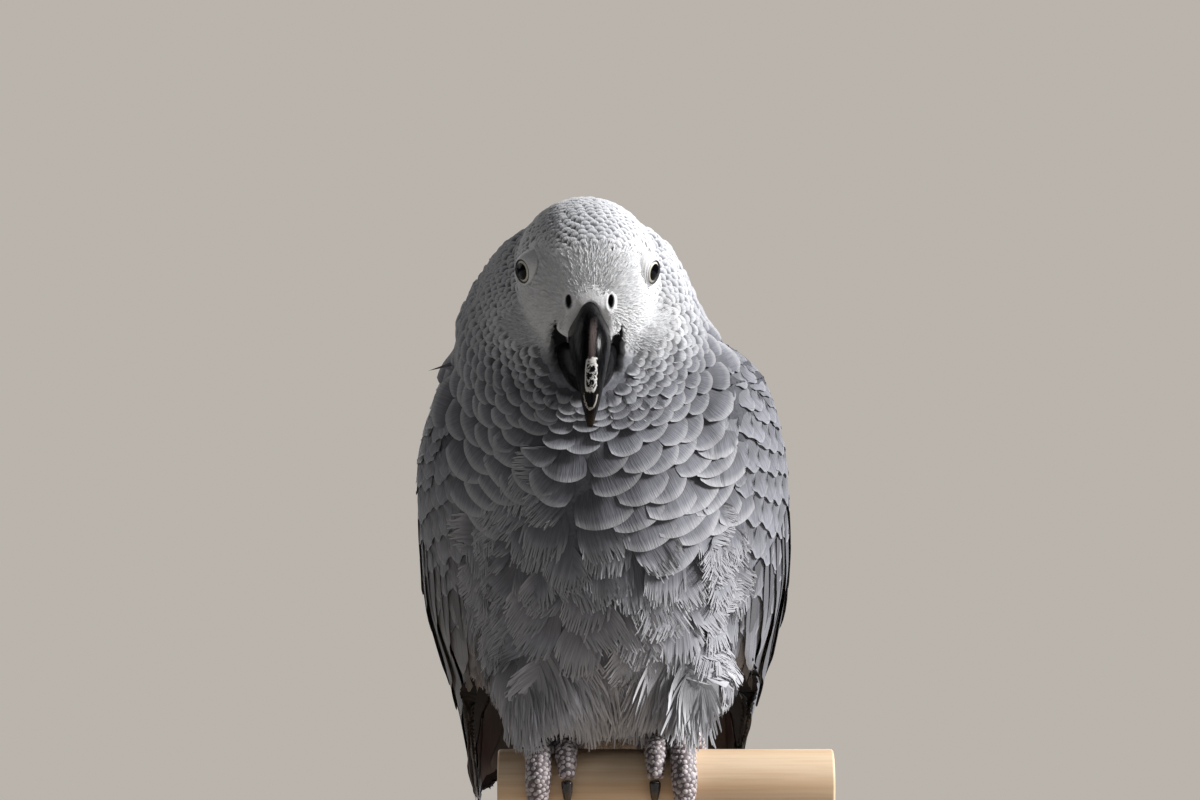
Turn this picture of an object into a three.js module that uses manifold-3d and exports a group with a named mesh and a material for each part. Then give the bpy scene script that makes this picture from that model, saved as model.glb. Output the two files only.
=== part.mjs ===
// A grey parrot at life size, hunched forward on a short wooden perch over a plain display stand.
// Millimetres, +Z up. The bird faces -Y. The origin is the centre of the stand's underside.
// The bird is laid out from the top of its perch: side is +X, front is -Y and up is +Z.
import * as THREE from "three";
import { mergeVertices } from "three/addons/utils/BufferGeometryUtils.js";
import Module from "manifold-3d";

const wasm = await Module();
wasm.setup();

// ---- Driving dimensions -------------------------------------------------------------------------

const GAP = 0.3; // clearance left between pieces that touch
const BASE = { width: 150, depth: 170, thick: 14, corner: 26, bevel: 2.5, front: 50 };
const PERCH = { radius: 10, top: 92, left: -31, right: 67, bevel: 0.8 };
const ROD = { radius: 5, sides: [2, 55], sunk: 3 };
const HEAD = { side: -4.9, front: 36, up: 137, pitch: 26, turn: 3 };
const EYE = { radius: 5.1, side: 15.2, front: 4, up: 1.6 };
const FOOT = { sides: [-15, 19], palm: 3.4, toe: 3.9 };
const CLAW = { length: 11, radius: 2.1 };
const TAIL_FEATHERS = 12;

// ---- Points, tracks and solids ------------------------------------------------------------------

const radians = THREE.MathUtils.degToRad;
const lerp = THREE.MathUtils.lerp;
const place = (side, front, up) => new THREE.Vector3(side, -front, up);

// A number that runs smoothly through a few values as t goes from 0 to 1.
function track(values) {
  const curve = new THREE.SplineCurve(values.map((value, i) => new THREE.Vector2(i, value)));
  return (t) => curve.getPoint(t).y;
}

// A curve through a few [side, front, up] points, by even steps of its parameter.
function route(points) {
  const curve = new THREE.CatmullRomCurve3(points.map((p) => place(...p)), false, "centripetal");
  return (t) => curve.getPoint(t);
}

// The closed surface through rings of points. ring(u, v) gives the point a share u round ring v.
// Flat rings are closed by a strip from face to back, and round ones by a fan about their middle.
function loft(ring, around, along, flat = false) {
  const positions = [];
  const faces = [];
  const middles = [new THREE.Vector3(), new THREE.Vector3()];
  for (let j = 0; j <= along; j++) {
    for (let i = 0; i < around; i++) {
      const p = ring(i / around, j / along);
      positions.push(p.x, p.y, p.z);
      if (j === 0) middles[0].addScaledVector(p, 1 / around);
      if (j === along) middles[1].addScaledVector(p, 1 / around);
    }
  }
  if (!flat) middles.forEach((p) => positions.push(p.x, p.y, p.z));
  const firstPole = around * (along + 1);
  const lastRing = around * along;
  for (let i = 0; i < around; i++) {
    const next = (i + 1) % around;
    for (let j = 0; j < along; j++) {
      const a = j * around;
      const b = a + around;
      faces.push(a + i, a + next, b + next, a + i, b + next, b + i);
    }
    if (!flat) faces.push(firstPole, next, i, firstPole + 1, lastRing + i, lastRing + next);
  }
  for (let i = 0; flat && i < around / 2; i++) {
    const back = (around - i) % around;
    const nextBack = around - i - 1;
    if (i > 0) faces.push(i + 1, i, back, lastRing + i, lastRing + i + 1, lastRing + back);
    if (nextBack > i + 1) {
      faces.push(i + 1, back, nextBack, lastRing + i + 1, lastRing + nextBack, lastRing + back);
    }
  }
  const geometry = new THREE.BufferGeometry();
  geometry.setAttribute("position", new THREE.Float32BufferAttribute(positions, 3));
  geometry.setIndex(faces);
  return solid(geometry);
}

// A closed geometry as a solid whose faces point outwards.
function solid(geometry) {
  const bare = geometry.clone();
  bare.deleteAttribute("normal");
  bare.deleteAttribute("uv");
  const merged = mergeVertices(bare, 1e-4);
  const vertProperties = new Float32Array(merged.attributes.position.array);
  const triVerts = new Uint32Array(merged.index.array);
  const made = new wasm.Manifold(new wasm.Mesh({ numProp: 3, vertProperties, triVerts }));
  if (made.volume() > 0) return made;
  for (let i = 0; i < triVerts.length; i += 3) {
    [triVerts[i], triVerts[i + 1]] = [triVerts[i + 1], triVerts[i]];
  }
  return new wasm.Manifold(new wasm.Mesh({ numProp: 3, vertProperties, triVerts }));
}

const cut = (from, ...tools) => tools.reduce((rest, tool) => rest.subtract(tool), from);
const join = (first, ...others) => others.reduce((whole, other) => whole.add(other), first);

// The largest body of a solid, without the crumbs that a cut can leave.
function largest(made) {
  return made.decompose().reduce((best, body) => (body.volume() > best.volume() ? body : best));
}

// A sheet with thickness between two edge curves. Across the sheet t runs from the low to the high
// edge; it bulges towards `away`, and face and back give its depth on either side of the middle.
function sheet({ low, high, bulge, away, face, back, across, along }) {
  const step = 0.01;
  const ring = (u, v) => {
    const onFace = u < 0.5;
    const t = onFace ? 2 * u : 2 - 2 * u;
    const from = low(v);
    const chord = high(v).sub(from);
    const before = Math.max(0, v - step);
    const after = Math.min(1, v + step);
    const run = low(after).add(high(after)).sub(low(before)).sub(high(before)).normalize();
    const out = new THREE.Vector3().crossVectors(run, chord).normalize();
    if (out.dot(away) < 0) out.negate();
    const lean = chord.clone().addScaledVector(out, bulge(v) * 4 * (1 - 2 * t));
    const normal = new THREE.Vector3().crossVectors(run, lean).normalize();
    if (normal.dot(out) < 0) normal.negate();
    const depth = onFace ? face(t, v) : -back(t, v);
    return from
      .addScaledVector(chord, t)
      .addScaledVector(out, bulge(v) * 4 * t * (1 - t))
      .addScaledVector(normal, depth);
  };
  return loft(ring, across, along, true);
}

// A round tube along a curve, whose radius runs through the given values.
function tube(path, radii, around, along) {
  const radius = track(radii);
  const step = 0.01;
  const ring = (u, v) => {
    const run = path(Math.min(1, v + step)).sub(path(Math.max(0, v - step))).normalize();
    const side = new THREE.Vector3(1, 0, 0).addScaledVector(run, -run.x).normalize();
    const other = new THREE.Vector3().crossVectors(run, side);
    const turn = 2 * Math.PI * u;
    return path(v)
      .addScaledVector(side, radius(v) * Math.cos(turn))
      .addScaledVector(other, radius(v) * Math.sin(turn));
  };
  return loft(ring, around, along);
}

// An ellipsoid about a point, with its half lengths to the side, front and top.
function ellipsoid(centre, halves, around = 14) {
  const geometry = new THREE.SphereGeometry(1, around, Math.round(around * 0.6));
  geometry.scale(...halves);
  geometry.translate(centre.x, centre.y, centre.z);
  return solid(geometry);
}

// ---- Body: trunk and neck are one form, parted across the neck -------------------------------------

// Where the spine passes, and how far the plumage stands from it to each side, the belly and the back.
const BODY = [
  { side: 0, front: -92, up: -8, wide: 15, belly: 7, back: 7 }, // tail coverts
  { side: 0, front: -66, up: 5, wide: 27, belly: 19, back: 17 }, // rump
  { side: 0, front: -43, up: 24, wide: 36, belly: 35, back: 30 }, // vent
  { side: 0.5, front: -23, up: 44, wide: 40.5, belly: 50, back: 37 }, // belly over the perch
  { side: 0.5, front: -5, up: 66, wide: 42, belly: 48, back: 41 }, // keel
  { side: -1, front: 9, up: 88, wide: 41.5, belly: 40, back: 39 }, // breast
  { side: -4, front: 15, up: 107, wide: 40, belly: 30, back: 38 }, // throat
  { side: -6.5, front: 14, up: 123, wide: 37.8, belly: 24, back: 34 }, // ruff
  { side: -6, front: 13, up: 138, wide: 31.5, belly: 20, back: 28 }, // nape
  { side: -5.2, front: 13, up: 149.5, wide: 24, belly: 14, back: 20 }, // behind the crown
  { side: -5, front: 13, up: 154.5, wide: 15, belly: 9, back: 12 },
];
const NECK_CUT = 0.55; // share of the spine where neck and trunk part

const spine = route(BODY.map(({ side, front, up }) => [side, front, up]));
const bodyWide = track(BODY.map(({ wide }) => wide));
const bodyBelly = track(BODY.map(({ belly }) => belly));
const bodyBack = track(BODY.map(({ back }) => back));

function spineRun(v) {
  return spine(Math.min(1, v + 0.02)).sub(spine(Math.max(0, v - 0.02))).normalize();
}

function body(grow = 0) {
  const squareness = 0.94; // under 1, sections are a little fuller than an ellipse
  const ring = (u, v) => {
    const run = spineRun(v);
    const belly = new THREE.Vector3(1, 0, 0).cross(run).normalize();
    if (belly.y > 0) belly.negate();
    const turn = 2 * Math.PI * u;
    const c = Math.cos(turn);
    const s = Math.sin(turn);
    const deep = s > 0 ? bodyBelly(v) : bodyBack(v);
    const across = (bodyWide(v) + grow) * Math.sign(c) * Math.abs(c) ** squareness;
    return spine(v)
      .addScaledVector(new THREE.Vector3(1, 0, 0), across)
      .addScaledVector(belly, (deep + grow) * Math.sign(s) * Math.abs(s) ** squareness)
      .addScaledVector(run, v === 0 ? -grow : v === 1 ? grow : 0);
  };
  return loft(ring, 24, 17);
}

// Everything on one side of a plane across the spine.
function beyondCut(v, sign) {
  const reach = 400;
  const run = spineRun(v).multiplyScalar(sign);
  const box = new THREE.BoxGeometry(reach, reach, reach);
  box.translate(0, 0, reach / 2 + GAP / 2);
  box.applyQuaternion(new THREE.Quaternion().setFromUnitVectors(new THREE.Vector3(0, 0, 1), run));
  const at = spine(v);
  box.translate(at.x, at.y, at.z);
  return solid(box);
}

// ---- Head, bill and eyes, laid out level about the point between the eyes -----------------------

const headPose = new THREE.Matrix4()
  .makeTranslation(place(HEAD.side, HEAD.front, HEAD.up))
  .multiply(new THREE.Matrix4().makeRotationZ(radians(HEAD.turn)))
  .multiply(new THREE.Matrix4().makeRotationX(radians(HEAD.pitch)));
const onHead = (side, front, up) => place(side, front, up).applyMatrix4(headPose);

const SKULL = [
  { front: -31, up: -2, wide: 8, crown: 7, chin: 10 }, // back of the head
  { front: -25, up: -2, wide: 16, crown: 14.5, chin: 20 },
  { front: -15, up: -2, wide: 19.8, crown: 19.6, chin: 25 },
  { front: -4, up: -2, wide: 20.6, crown: 20.6, chin: 27 }, // cheeks
  { front: 5, up: -3, wide: 18.9, crown: 19, chin: 26 },
  { front: 12, up: -5, wide: 16, crown: 15.8, chin: 22 }, // lores
  { front: 17, up: -7, wide: 11.5, crown: 11.2, chin: 16 }, // cere
  { front: 20.5, up: -8.5, wide: 7, crown: 6, chin: 9 },
];

function skull(grow = 0) {
  const keys = ["front", "up", "wide", "crown", "chin"];
  const at = Object.fromEntries(keys.map((key) => [key, track(SKULL.map((s) => s[key]))]));
  const ring = (u, v) => {
    const turn = 2 * Math.PI * u;
    const s = Math.sin(turn);
    const tall = (s > 0 ? at.crown(v) : at.chin(v)) + grow;
    const front = at.front(v) + (v === 0 ? -grow : v === 1 ? grow : 0);
    return onHead((at.wide(v) + grow) * Math.cos(turn), front, at.up(v) + tall * s);
  };
  return loft(ring, 22, 12);
}

// A horn piece between a ridge curve and an edge curve, both in the head's middle plane. With a keel,
// its upper half narrows towards the ridge by that share at the root and a tenth at the tip.
function horn({ ridge, edge, wide, keel = 0, grow = 0, around = 14, along = 10 }) {
  const ridgeCurve = new THREE.CubicBezierCurve(...ridge.map((p) => new THREE.Vector2(...p)));
  const edgeCurve = new THREE.CubicBezierCurve(...edge.map((p) => new THREE.Vector2(...p)));
  const half = track(wide);
  const ring = (u, v) => {
    const top = ridgeCurve.getPoint(v);
    const low = edgeCurve.getPoint(v);
    const middle = top.clone().add(low).multiplyScalar(0.5);
    const reach = top.clone().sub(low).multiplyScalar(0.5);
    reach.setLength(reach.length() + grow);
    const turn = 2 * Math.PI * u;
    const share = keel > 0 ? Math.max(0.1, keel * (1 - 2.5 * v)) : 0;
    const narrow = 1 - share * Math.max(0, Math.sin(turn)) ** 2;
    const across = (half(v) * narrow + grow) * Math.cos(turn);
    return onHead(across, middle.x + reach.x * Math.sin(turn), middle.y + reach.y * Math.sin(turn));
  };
  return loft(ring, around, along);
}

const upperBill = (grow) =>
  horn({
    ridge: [[18, -2.5], [37, -3], [45, -18], [36.6, -33.6]],
    edge: [[11, -17], [20, -19], [31, -17], [35.6, -33.2]],
    wide: [6.6, 6.5, 6.3, 5.7, 4.9, 3.9, 2.7, 1.2],
    keel: 0.42,
    grow,
  });

const lowerBill = (grow) =>
  horn({
    ridge: [[8, -14], [16, -16], [23, -18], [29.5, -20.5]],
    edge: [[8, -27], [16, -31], [24, -31], [29.5, -24]],
    wide: [8.2, 8.2, 7.5, 6.2, 4],
    grow,
    along: 6,
  });

function eyeball(side, grow = 0) {
  const ball = new THREE.SphereGeometry(EYE.radius + grow, 14, 9);
  const centre = onHead(side * EYE.side, EYE.front, EYE.up);
  ball.translate(centre.x, centre.y, centre.z);
  return solid(ball);
}

function nostril(side) {
  const centre = onHead(side * 6.1, 19, -3.4);
  return ellipsoid(centre, [1.1, 3.2, 1.9], 8);
}

// ---- Wings: folded, hanging a little open, the tips beside the tail -----------------------------

// The leading edge runs from wrist to wing tip. The ruff leans over the right wrist and hides more of it.
const WING_LOW = {
  left: [
    [28, 20, 118.5],
    [31.5, 34, 105],
    [34, 36, 87],
    [40, 19, 62],
    [43.5, -10, 34],
    [44.5, -50, 10],
    [43.5, -98, -8],
    [42, -138, -22],
  ],
  right: [
    [36, 16, 116],
    [42, 25, 103],
    [42, 29, 86],
    [40.5, 17, 61],
    [41.5, -10, 34],
    [42, -50, 10],
    [42, -98, -8],
    [41, -138, -22],
  ],
};
// The edge that lies along the back, the same on both sides.
const WING_HIGH = [
  [25, 6, 121],
  [21, -16, 115],
  [13, -36, 101],
  [6, -58, 76],
  [4, -80, 49],
  [7, -102, 22],
  [21, -124, -2],
  [37, -142, -17],
];
const WING_BULGE = {
  left: [10, 23, 30, 35, 37, 35, 23, 2.5],
  right: [9, 18.5, 28.5, 35, 37, 35, 22, 2.5],
};
const WING_DEPTH = [6, 14, 18, 22, 22, 16, 6, 1.2];

function wing(side) {
  const word = side > 0 ? "left" : "right";
  const onSide = ([x, front, up]) => [side * x, front, up];
  const deep = track(WING_DEPTH);
  const coverts = 3; // rows of covert feathers step down towards the quills
  const quills = 7; // folded quills show as steps across the rear half
  const face = (t, v) => {
    const rim = Math.sqrt(Math.max(0, 4 * t * (1 - t)));
    const row = 0.8 * (1 - ((v * 2 * coverts) % 1)) * (v < 0.5 ? 1 : 0);
    const step = 0.9 * ((t * quills) % 1) * (v >= 0.5 ? Math.min(1, (v - 0.5) * 6) : 0);
    return rim * (1.2 + row + step * (1 - 0.5 * v));
  };
  return sheet({
    low: route(WING_LOW[word].map(onSide)),
    high: route(WING_HIGH.map(onSide)),
    bulge: track(WING_BULGE[word]),
    away: new THREE.Vector3(side, 0.35, 0.3),
    face,
    back: (t, v) => deep(v) * Math.min(1, 3.2 * Math.sqrt(t * (1 - t)) + 0.1),
    across: 22,
    along: 15,
  });
}

// ---- Tail: a short square fan of broad feathers -------------------------------------------------

const TAIL = { root: [-64, 6], tip: [-152, -40], rootWide: 12, tipWide: 33, arch: 5 };

function tail(grow = 0) {
  const [rootFront, rootUp] = TAIL.root;
  const [tipFront, tipUp] = TAIL.tip;
  const edge = (side) => (v) => {
    const wide = lerp(TAIL.rootWide, TAIL.tipWide + grow, v ** 0.8);
    const shorter = 4 * v ** 8;
    return place(side * wide, lerp(rootFront, tipFront, v) + shorter, lerp(rootUp, tipUp, v));
  };
  const shingle = (t) => 0.7 * ((t * TAIL_FEATHERS) % 1);
  return sheet({
    low: edge(-1),
    high: edge(1),
    bulge: (v) => lerp(3, TAIL.arch, v),
    away: new THREE.Vector3(0, 0, 1),
    face: (t, v) => grow + Math.min(1, 12 * t * (1 - t)) * (1.4 - 0.6 * v + shingle(t)),
    back: (t, v) => grow + Math.min(1, 12 * t * (1 - t)) * (1.6 - 0.7 * v),
    across: 3 * TAIL_FEATHERS,
    along: 4,
  });
}

// ---- Legs and feet: two toes forward and two back, wrapped round the perch -----------------------

// A path round the perch, `out` from its axis, between two angles. 0 is the perch's front and 90 its top.
function roundPerch(fromSide, toSide, fromAngle, toAngle, outFrom, outTo = outFrom) {
  return (t) => {
    const angle = radians(lerp(fromAngle, toAngle, t));
    const out = lerp(outFrom, outTo, t);
    return place(lerp(fromSide, toSide, t), out * Math.cos(angle), out * Math.sin(angle) - PERCH.radius);
  };
}

// Toes by number: outwards shift of root and tip, end angle, and how thick they are.
const TOES = [
  { name: "toe_2", root: -3.6, tip: -4.3, end: 8, thick: 0.92 },
  { name: "toe_3", root: 3.6, tip: 4.3, end: -34, thick: 1.08 },
  { name: "toe_4", root: 5, tip: 11.5, end: 196, thick: 1 },
  { name: "toe_1", root: -4.5, tip: -7.5, end: 166, thick: 0.85 },
];
const TOE_OUT = PERCH.radius + FOOT.toe - 0.2;

function toe(footSide, outward, { root, tip, end, thick }) {
  const start = end > 90 ? 78 : 104;
  const r = FOOT.toe * thick;
  const path = roundPerch(footSide + outward * root, footSide + outward * tip, start, end, TOE_OUT);
  return tube(path, [0.8 * r, 1.05 * r, r, 0.86 * r, 0.96 * r, 0.78 * r, 0.66 * r], 8, 7);
}

function claw(footSide, outward, { root, tip, end, thick }) {
  const forward = end > 90 ? 1 : -1;
  const sweep = THREE.MathUtils.radToDeg(CLAW.length / TOE_OUT) * thick;
  const start = end + (forward * THREE.MathUtils.radToDeg(2 * GAP)) / TOE_OUT;
  const side = footSide + outward * tip;
  const tipSide = side + outward * (tip - root) * 0.2;
  const path = roundPerch(side, tipSide, start, start + forward * sweep, TOE_OUT, PERCH.radius + 1.2);
  const r = CLAW.radius * thick;
  return tube(path, [r, 0.95 * r, 0.72 * r, 0.42 * r, 0.15 * r], 7, 5);
}

function foot(footSide, outward) {
  const palm = ellipsoid(place(footSide + outward * 0.6, -0.5, FOOT.palm), [8.2, 7.2, 4], 10);
  return join(palm, ...TOES.map((t) => toe(footSide, outward, t)));
}

// The room that a foot takes round the perch, kept clear of plumage.
function footSpace(footSide, outward) {
  const radius = PERCH.radius + 2 * FOOT.toe + 1;
  const wide = 27;
  const geometry = new THREE.CylinderGeometry(radius, radius, wide, 20);
  geometry.rotateZ(Math.PI / 2);
  geometry.translate(footSide + outward * 3, 0, -PERCH.radius);
  return solid(geometry);
}

function thigh(side, footSide, grow = 0) {
  const centre = place(side * 4 + footSide * 1.15, 2, 20);
  return ellipsoid(centre, [15.5 + grow, 20 + grow, 15 + grow], 14);
}

// ---- Perch and display stand --------------------------------------------------------------------

function perch(grow = 0) {
  const r = PERCH.radius + grow;
  const b = PERCH.bevel;
  const length = PERCH.right - PERCH.left;
  const outline = [[0, 0], [r - b, 0], [r, b], [r, length - b], [r - b, length], [0, length]];
  const geometry = new THREE.LatheGeometry(outline.map((p) => new THREE.Vector2(...p)), 28);
  geometry.rotateZ(-Math.PI / 2);
  geometry.translate(PERCH.left, 0, -PERCH.radius);
  return solid(geometry);
}

function rod(side) {
  const top = PERCH.top - PERCH.radius;
  const low = BASE.thick - ROD.sunk;
  const geometry = new THREE.CylinderGeometry(ROD.radius, ROD.radius, top - low, 20);
  geometry.rotateX(Math.PI / 2);
  geometry.translate(side, 0, (top + low) / 2 - PERCH.top);
  return cut(solid(geometry), perch(GAP));
}

function rodHole(side) {
  const geometry = new THREE.CylinderGeometry(ROD.radius + GAP, ROD.radius + GAP, BASE.thick, 20);
  geometry.rotateX(Math.PI / 2);
  geometry.translate(side, 0, BASE.thick - ROD.sunk - GAP + BASE.thick / 2 - PERCH.top);
  return solid(geometry);
}

function base() {
  const middle = BASE.front - BASE.depth / 2;
  const halfWide = BASE.width / 2 - BASE.bevel;
  const halfDeep = BASE.depth / 2 - BASE.bevel;
  const corner = BASE.corner - BASE.bevel;
  const shape = new THREE.Shape();
  const turns = [[1, 1, 0], [-1, 1, 90], [-1, -1, 180], [1, -1, 270]];
  turns.forEach(([x, y, from]) => {
    const centre = [x * (halfWide - corner), y * (halfDeep - corner)];
    shape.absarc(...centre, corner, radians(from), radians(from + 90));
  });
  const options = {
    depth: BASE.thick - 2 * BASE.bevel,
    bevelSize: BASE.bevel,
    bevelThickness: BASE.bevel,
    bevelSegments: 1,
    curveSegments: 5,
  };
  const geometry = new THREE.ExtrudeGeometry(shape, options);
  geometry.translate(0, -middle, BASE.bevel - PERCH.top);
  return cut(solid(geometry), ...ROD.sides.map(rodHole));
}

// ---- Materials ----------------------------------------------------------------------------------

const paint = (color, roughness) => new THREE.MeshStandardMaterial({ color, roughness, metalness: 0 });
const plumage = paint(0x8b8c92, 0.85);
const crown = paint(0xc4c5ca, 0.85);
const quill = paint(0x5f6067, 0.7);
const scarlet = paint(0xa3161c, 0.75);
const hornBlack = paint(0x17161a, 0.3);
const scaly = paint(0xa8a0a2, 0.6);
const iris = paint(0xe6dcb4, 0.1);
const wood = paint(0xe2bf8e, 0.5);

// ---- Assembly -----------------------------------------------------------------------------------

const bird = new THREE.Group();
bird.position.set(0, 0, PERCH.top);
const middleOfBase = BASE.front - BASE.depth / 2;
const model = new THREE.Group();
model.position.set(0, middleOfBase, 0);
model.add(bird);

function add(name, made, material) {
  const { numProp, vertProperties, triVerts } = largest(made).getMesh();
  const positions = new Float32Array((vertProperties.length / numProp) * 3);
  for (let i = 0; i < positions.length / 3; i++) {
    positions.set(vertProperties.subarray(i * numProp, i * numProp + 3), i * 3);
  }
  const geometry = new THREE.BufferGeometry();
  geometry.setAttribute("position", new THREE.BufferAttribute(positions, 3));
  geometry.setIndex(new THREE.BufferAttribute(new Uint32Array(triVerts), 1));
  const mesh = new THREE.Mesh(geometry, material);
  mesh.name = name;
  bird.add(mesh);
}

const SIDES = [
  { word: "right", sign: -1, footSide: FOOT.sides[0] },
  { word: "left", sign: 1, footSide: FOOT.sides[1] },
];
const eyeSpaces = SIDES.map(({ sign }) => eyeball(sign, GAP));
const perchSpace = perch(GAP);
const bodySpace = body(GAP);
const headSpace = skull(GAP);
const feetSpace = SIDES.map(({ sign, footSide }) => footSpace(footSide, sign));
const thighSpaces = SIDES.map(({ sign, footSide }) => thigh(sign, footSide, GAP));

add("head", cut(skull(), ...eyeSpaces, nostril(-1), nostril(1)), crown);
add("neck", cut(body().intersect(beyondCut(NECK_CUT, 1)), headSpace), plumage);
add("trunk", cut(body().intersect(beyondCut(NECK_CUT, -1)), perchSpace, ...feetSpace), plumage);
add("bill_upper", cut(upperBill(), headSpace), hornBlack);
add("bill_lower", cut(lowerBill(), headSpace, upperBill(GAP), bodySpace), hornBlack);
SIDES.forEach(({ word, sign, footSide }, i) => {
  add(`eye_${word}`, eyeball(sign), iris);
  add(`wing_${word}`, cut(wing(sign), bodySpace, headSpace, tail(GAP)), quill);
  add(`thigh_${word}`, cut(thigh(sign, footSide), bodySpace, perchSpace), plumage);
  add(`foot_${word}`, cut(foot(footSide, sign), perchSpace, thighSpaces[i]), scaly);
  TOES.forEach((t) => add(`claw_${word}_${t.name}`, cut(claw(footSide, sign, t), perchSpace), hornBlack));
});
add("tail", cut(tail(), bodySpace), scarlet);
add("stand_perch", perch(), wood);
ROD.sides.forEach((side, i) => add(`stand_rod_${i + 1}`, rod(side), wood));
add("stand_base", base(), wood);

export default model;
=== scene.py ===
"""A grey parrot at life size, hunched on a short wooden perch over a plain display stand.

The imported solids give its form. One skin is made from them, a coat's depth inside, and every feather,
scale and horn piece is built over it. Places are given from the top of the perch as side (the bird's
left), front and up, in millimetres; everything else is in metres.
"""

import heapq
import itertools
import math

import bmesh
import bpy
import numpy as np
from mathutils import Matrix, Vector
from mathutils.bvhtree import BVHTree
from mathutils.kdtree import KDTree


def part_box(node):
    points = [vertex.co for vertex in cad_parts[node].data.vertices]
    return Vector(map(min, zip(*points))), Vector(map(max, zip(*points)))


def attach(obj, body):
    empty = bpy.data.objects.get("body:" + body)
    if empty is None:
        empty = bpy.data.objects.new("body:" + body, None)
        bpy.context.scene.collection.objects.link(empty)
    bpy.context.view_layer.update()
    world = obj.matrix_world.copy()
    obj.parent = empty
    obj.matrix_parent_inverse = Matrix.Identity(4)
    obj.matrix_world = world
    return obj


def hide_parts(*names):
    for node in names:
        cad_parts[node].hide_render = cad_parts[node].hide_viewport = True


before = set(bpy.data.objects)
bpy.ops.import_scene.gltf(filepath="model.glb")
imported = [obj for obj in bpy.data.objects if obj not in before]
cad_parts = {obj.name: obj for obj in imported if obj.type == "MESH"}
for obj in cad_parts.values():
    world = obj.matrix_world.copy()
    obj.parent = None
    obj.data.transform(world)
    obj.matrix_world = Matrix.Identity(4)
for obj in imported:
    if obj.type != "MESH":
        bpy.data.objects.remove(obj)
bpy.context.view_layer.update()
MM = 0.001
rng = np.random.default_rng(7)

# ---- Places taken from the imported solids -------------------------------------------------------

perch_low, perch_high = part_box("stand_perch")
AXIS_Y = (perch_low.y + perch_high.y) / 2
PERCH_TOP = perch_high.z
PERCH_RADIUS = (perch_high.z - perch_low.z) / 2


def at(side, front, up):
    return Vector((side * MM, AXIS_Y - front * MM, PERCH_TOP + up * MM))


def local(points):
    """Rows of side, front and up in millimetres for rows of places in metres."""
    points = np.asarray(points)
    return np.stack([points[:, 0], AXIS_Y - points[:, 1], points[:, 2] - PERCH_TOP], 1) / MM


def middle_of(node):
    low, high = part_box(node)
    return (low + high) / 2


HEAD_PITCH = math.radians(26)
EYE_AHEAD, EYE_ABOVE = 4 * MM, 1.6 * MM  # where the eyes sit from the head's middle
SIDES = {"left": 1, "right": -1}
EYES = {word: middle_of(f"eye_{word}") for word in SIDES}
EYE_RADIUS = (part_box("eye_left")[1].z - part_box("eye_left")[0].z) / 2 / math.cos(math.pi / 18)
ACROSS = (EYES["left"] - EYES["right"]).normalized()
level_forward = ACROSS.cross(Vector((0, 0, 1))).normalized()
FORWARD = level_forward * math.cos(HEAD_PITCH) - Vector((0, 0, 1)) * math.sin(HEAD_PITCH)
HEAD_UP = FORWARD.cross(ACROSS)
HEAD = (EYES["left"] + EYES["right"]) / 2 - FORWARD * EYE_AHEAD - HEAD_UP * EYE_ABOVE


def on_head(side, front, up):
    return HEAD + (ACROSS * side + FORWARD * front + HEAD_UP * up) * MM


def head_local(points):
    """Rows of side, front and up on the head's own axes, in millimetres."""
    axes = np.array([ACROSS, FORWARD, HEAD_UP])
    return (np.asarray(points) - np.array(HEAD)) @ axes.T / MM


def smooth(low, high, value):
    t = np.clip((value - low) / (high - low), 0, 1)
    return t * t * (3 - 2 * t)


def head_distance(points):
    return np.linalg.norm(np.asarray(points) - np.array(HEAD), axis=1) / MM


# ---- Meshes --------------------------------------------------------------------------------------


def piece(name, mesh, finish, replaced=(), slot=None, body="root"):
    """A finished piece at the origin, riding on the bird."""
    obj = bpy.data.objects.new(name, mesh)
    bpy.context.scene.collection.objects.link(obj)
    mesh.materials.clear()
    mesh.materials.append(finish)
    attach(obj, body)
    if replaced:
        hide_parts(*replaced)
    return obj


def mesh_of(bm, name, soft=True):
    mesh = bpy.data.meshes.new(name)
    bm.to_mesh(mesh)
    bm.free()
    if soft:
        mesh.shade_smooth()
    return mesh


def clean_copy(node):
    """A copy of a solid's mesh with its loose triangles joined."""
    bm = bmesh.new()
    bm.from_mesh(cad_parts[node].data)
    bmesh.ops.remove_doubles(bm, verts=bm.verts, dist=1e-6)
    return bm


def reshaped(mesh, *steps):
    """What a chain of modifiers makes of a mesh; each step is a kind and its settings."""
    holder = bpy.data.objects.new(mesh.name, mesh)
    bpy.context.scene.collection.objects.link(holder)
    for kind, settings in steps:
        modifier = holder.modifiers.new(kind, kind)
        for key, value in settings.items():
            setattr(modifier, key, value)
    graph = bpy.context.evaluated_depsgraph_get()
    made = bpy.data.meshes.new_from_object(holder.evaluated_get(graph))
    bpy.data.objects.remove(holder)
    return made


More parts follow.
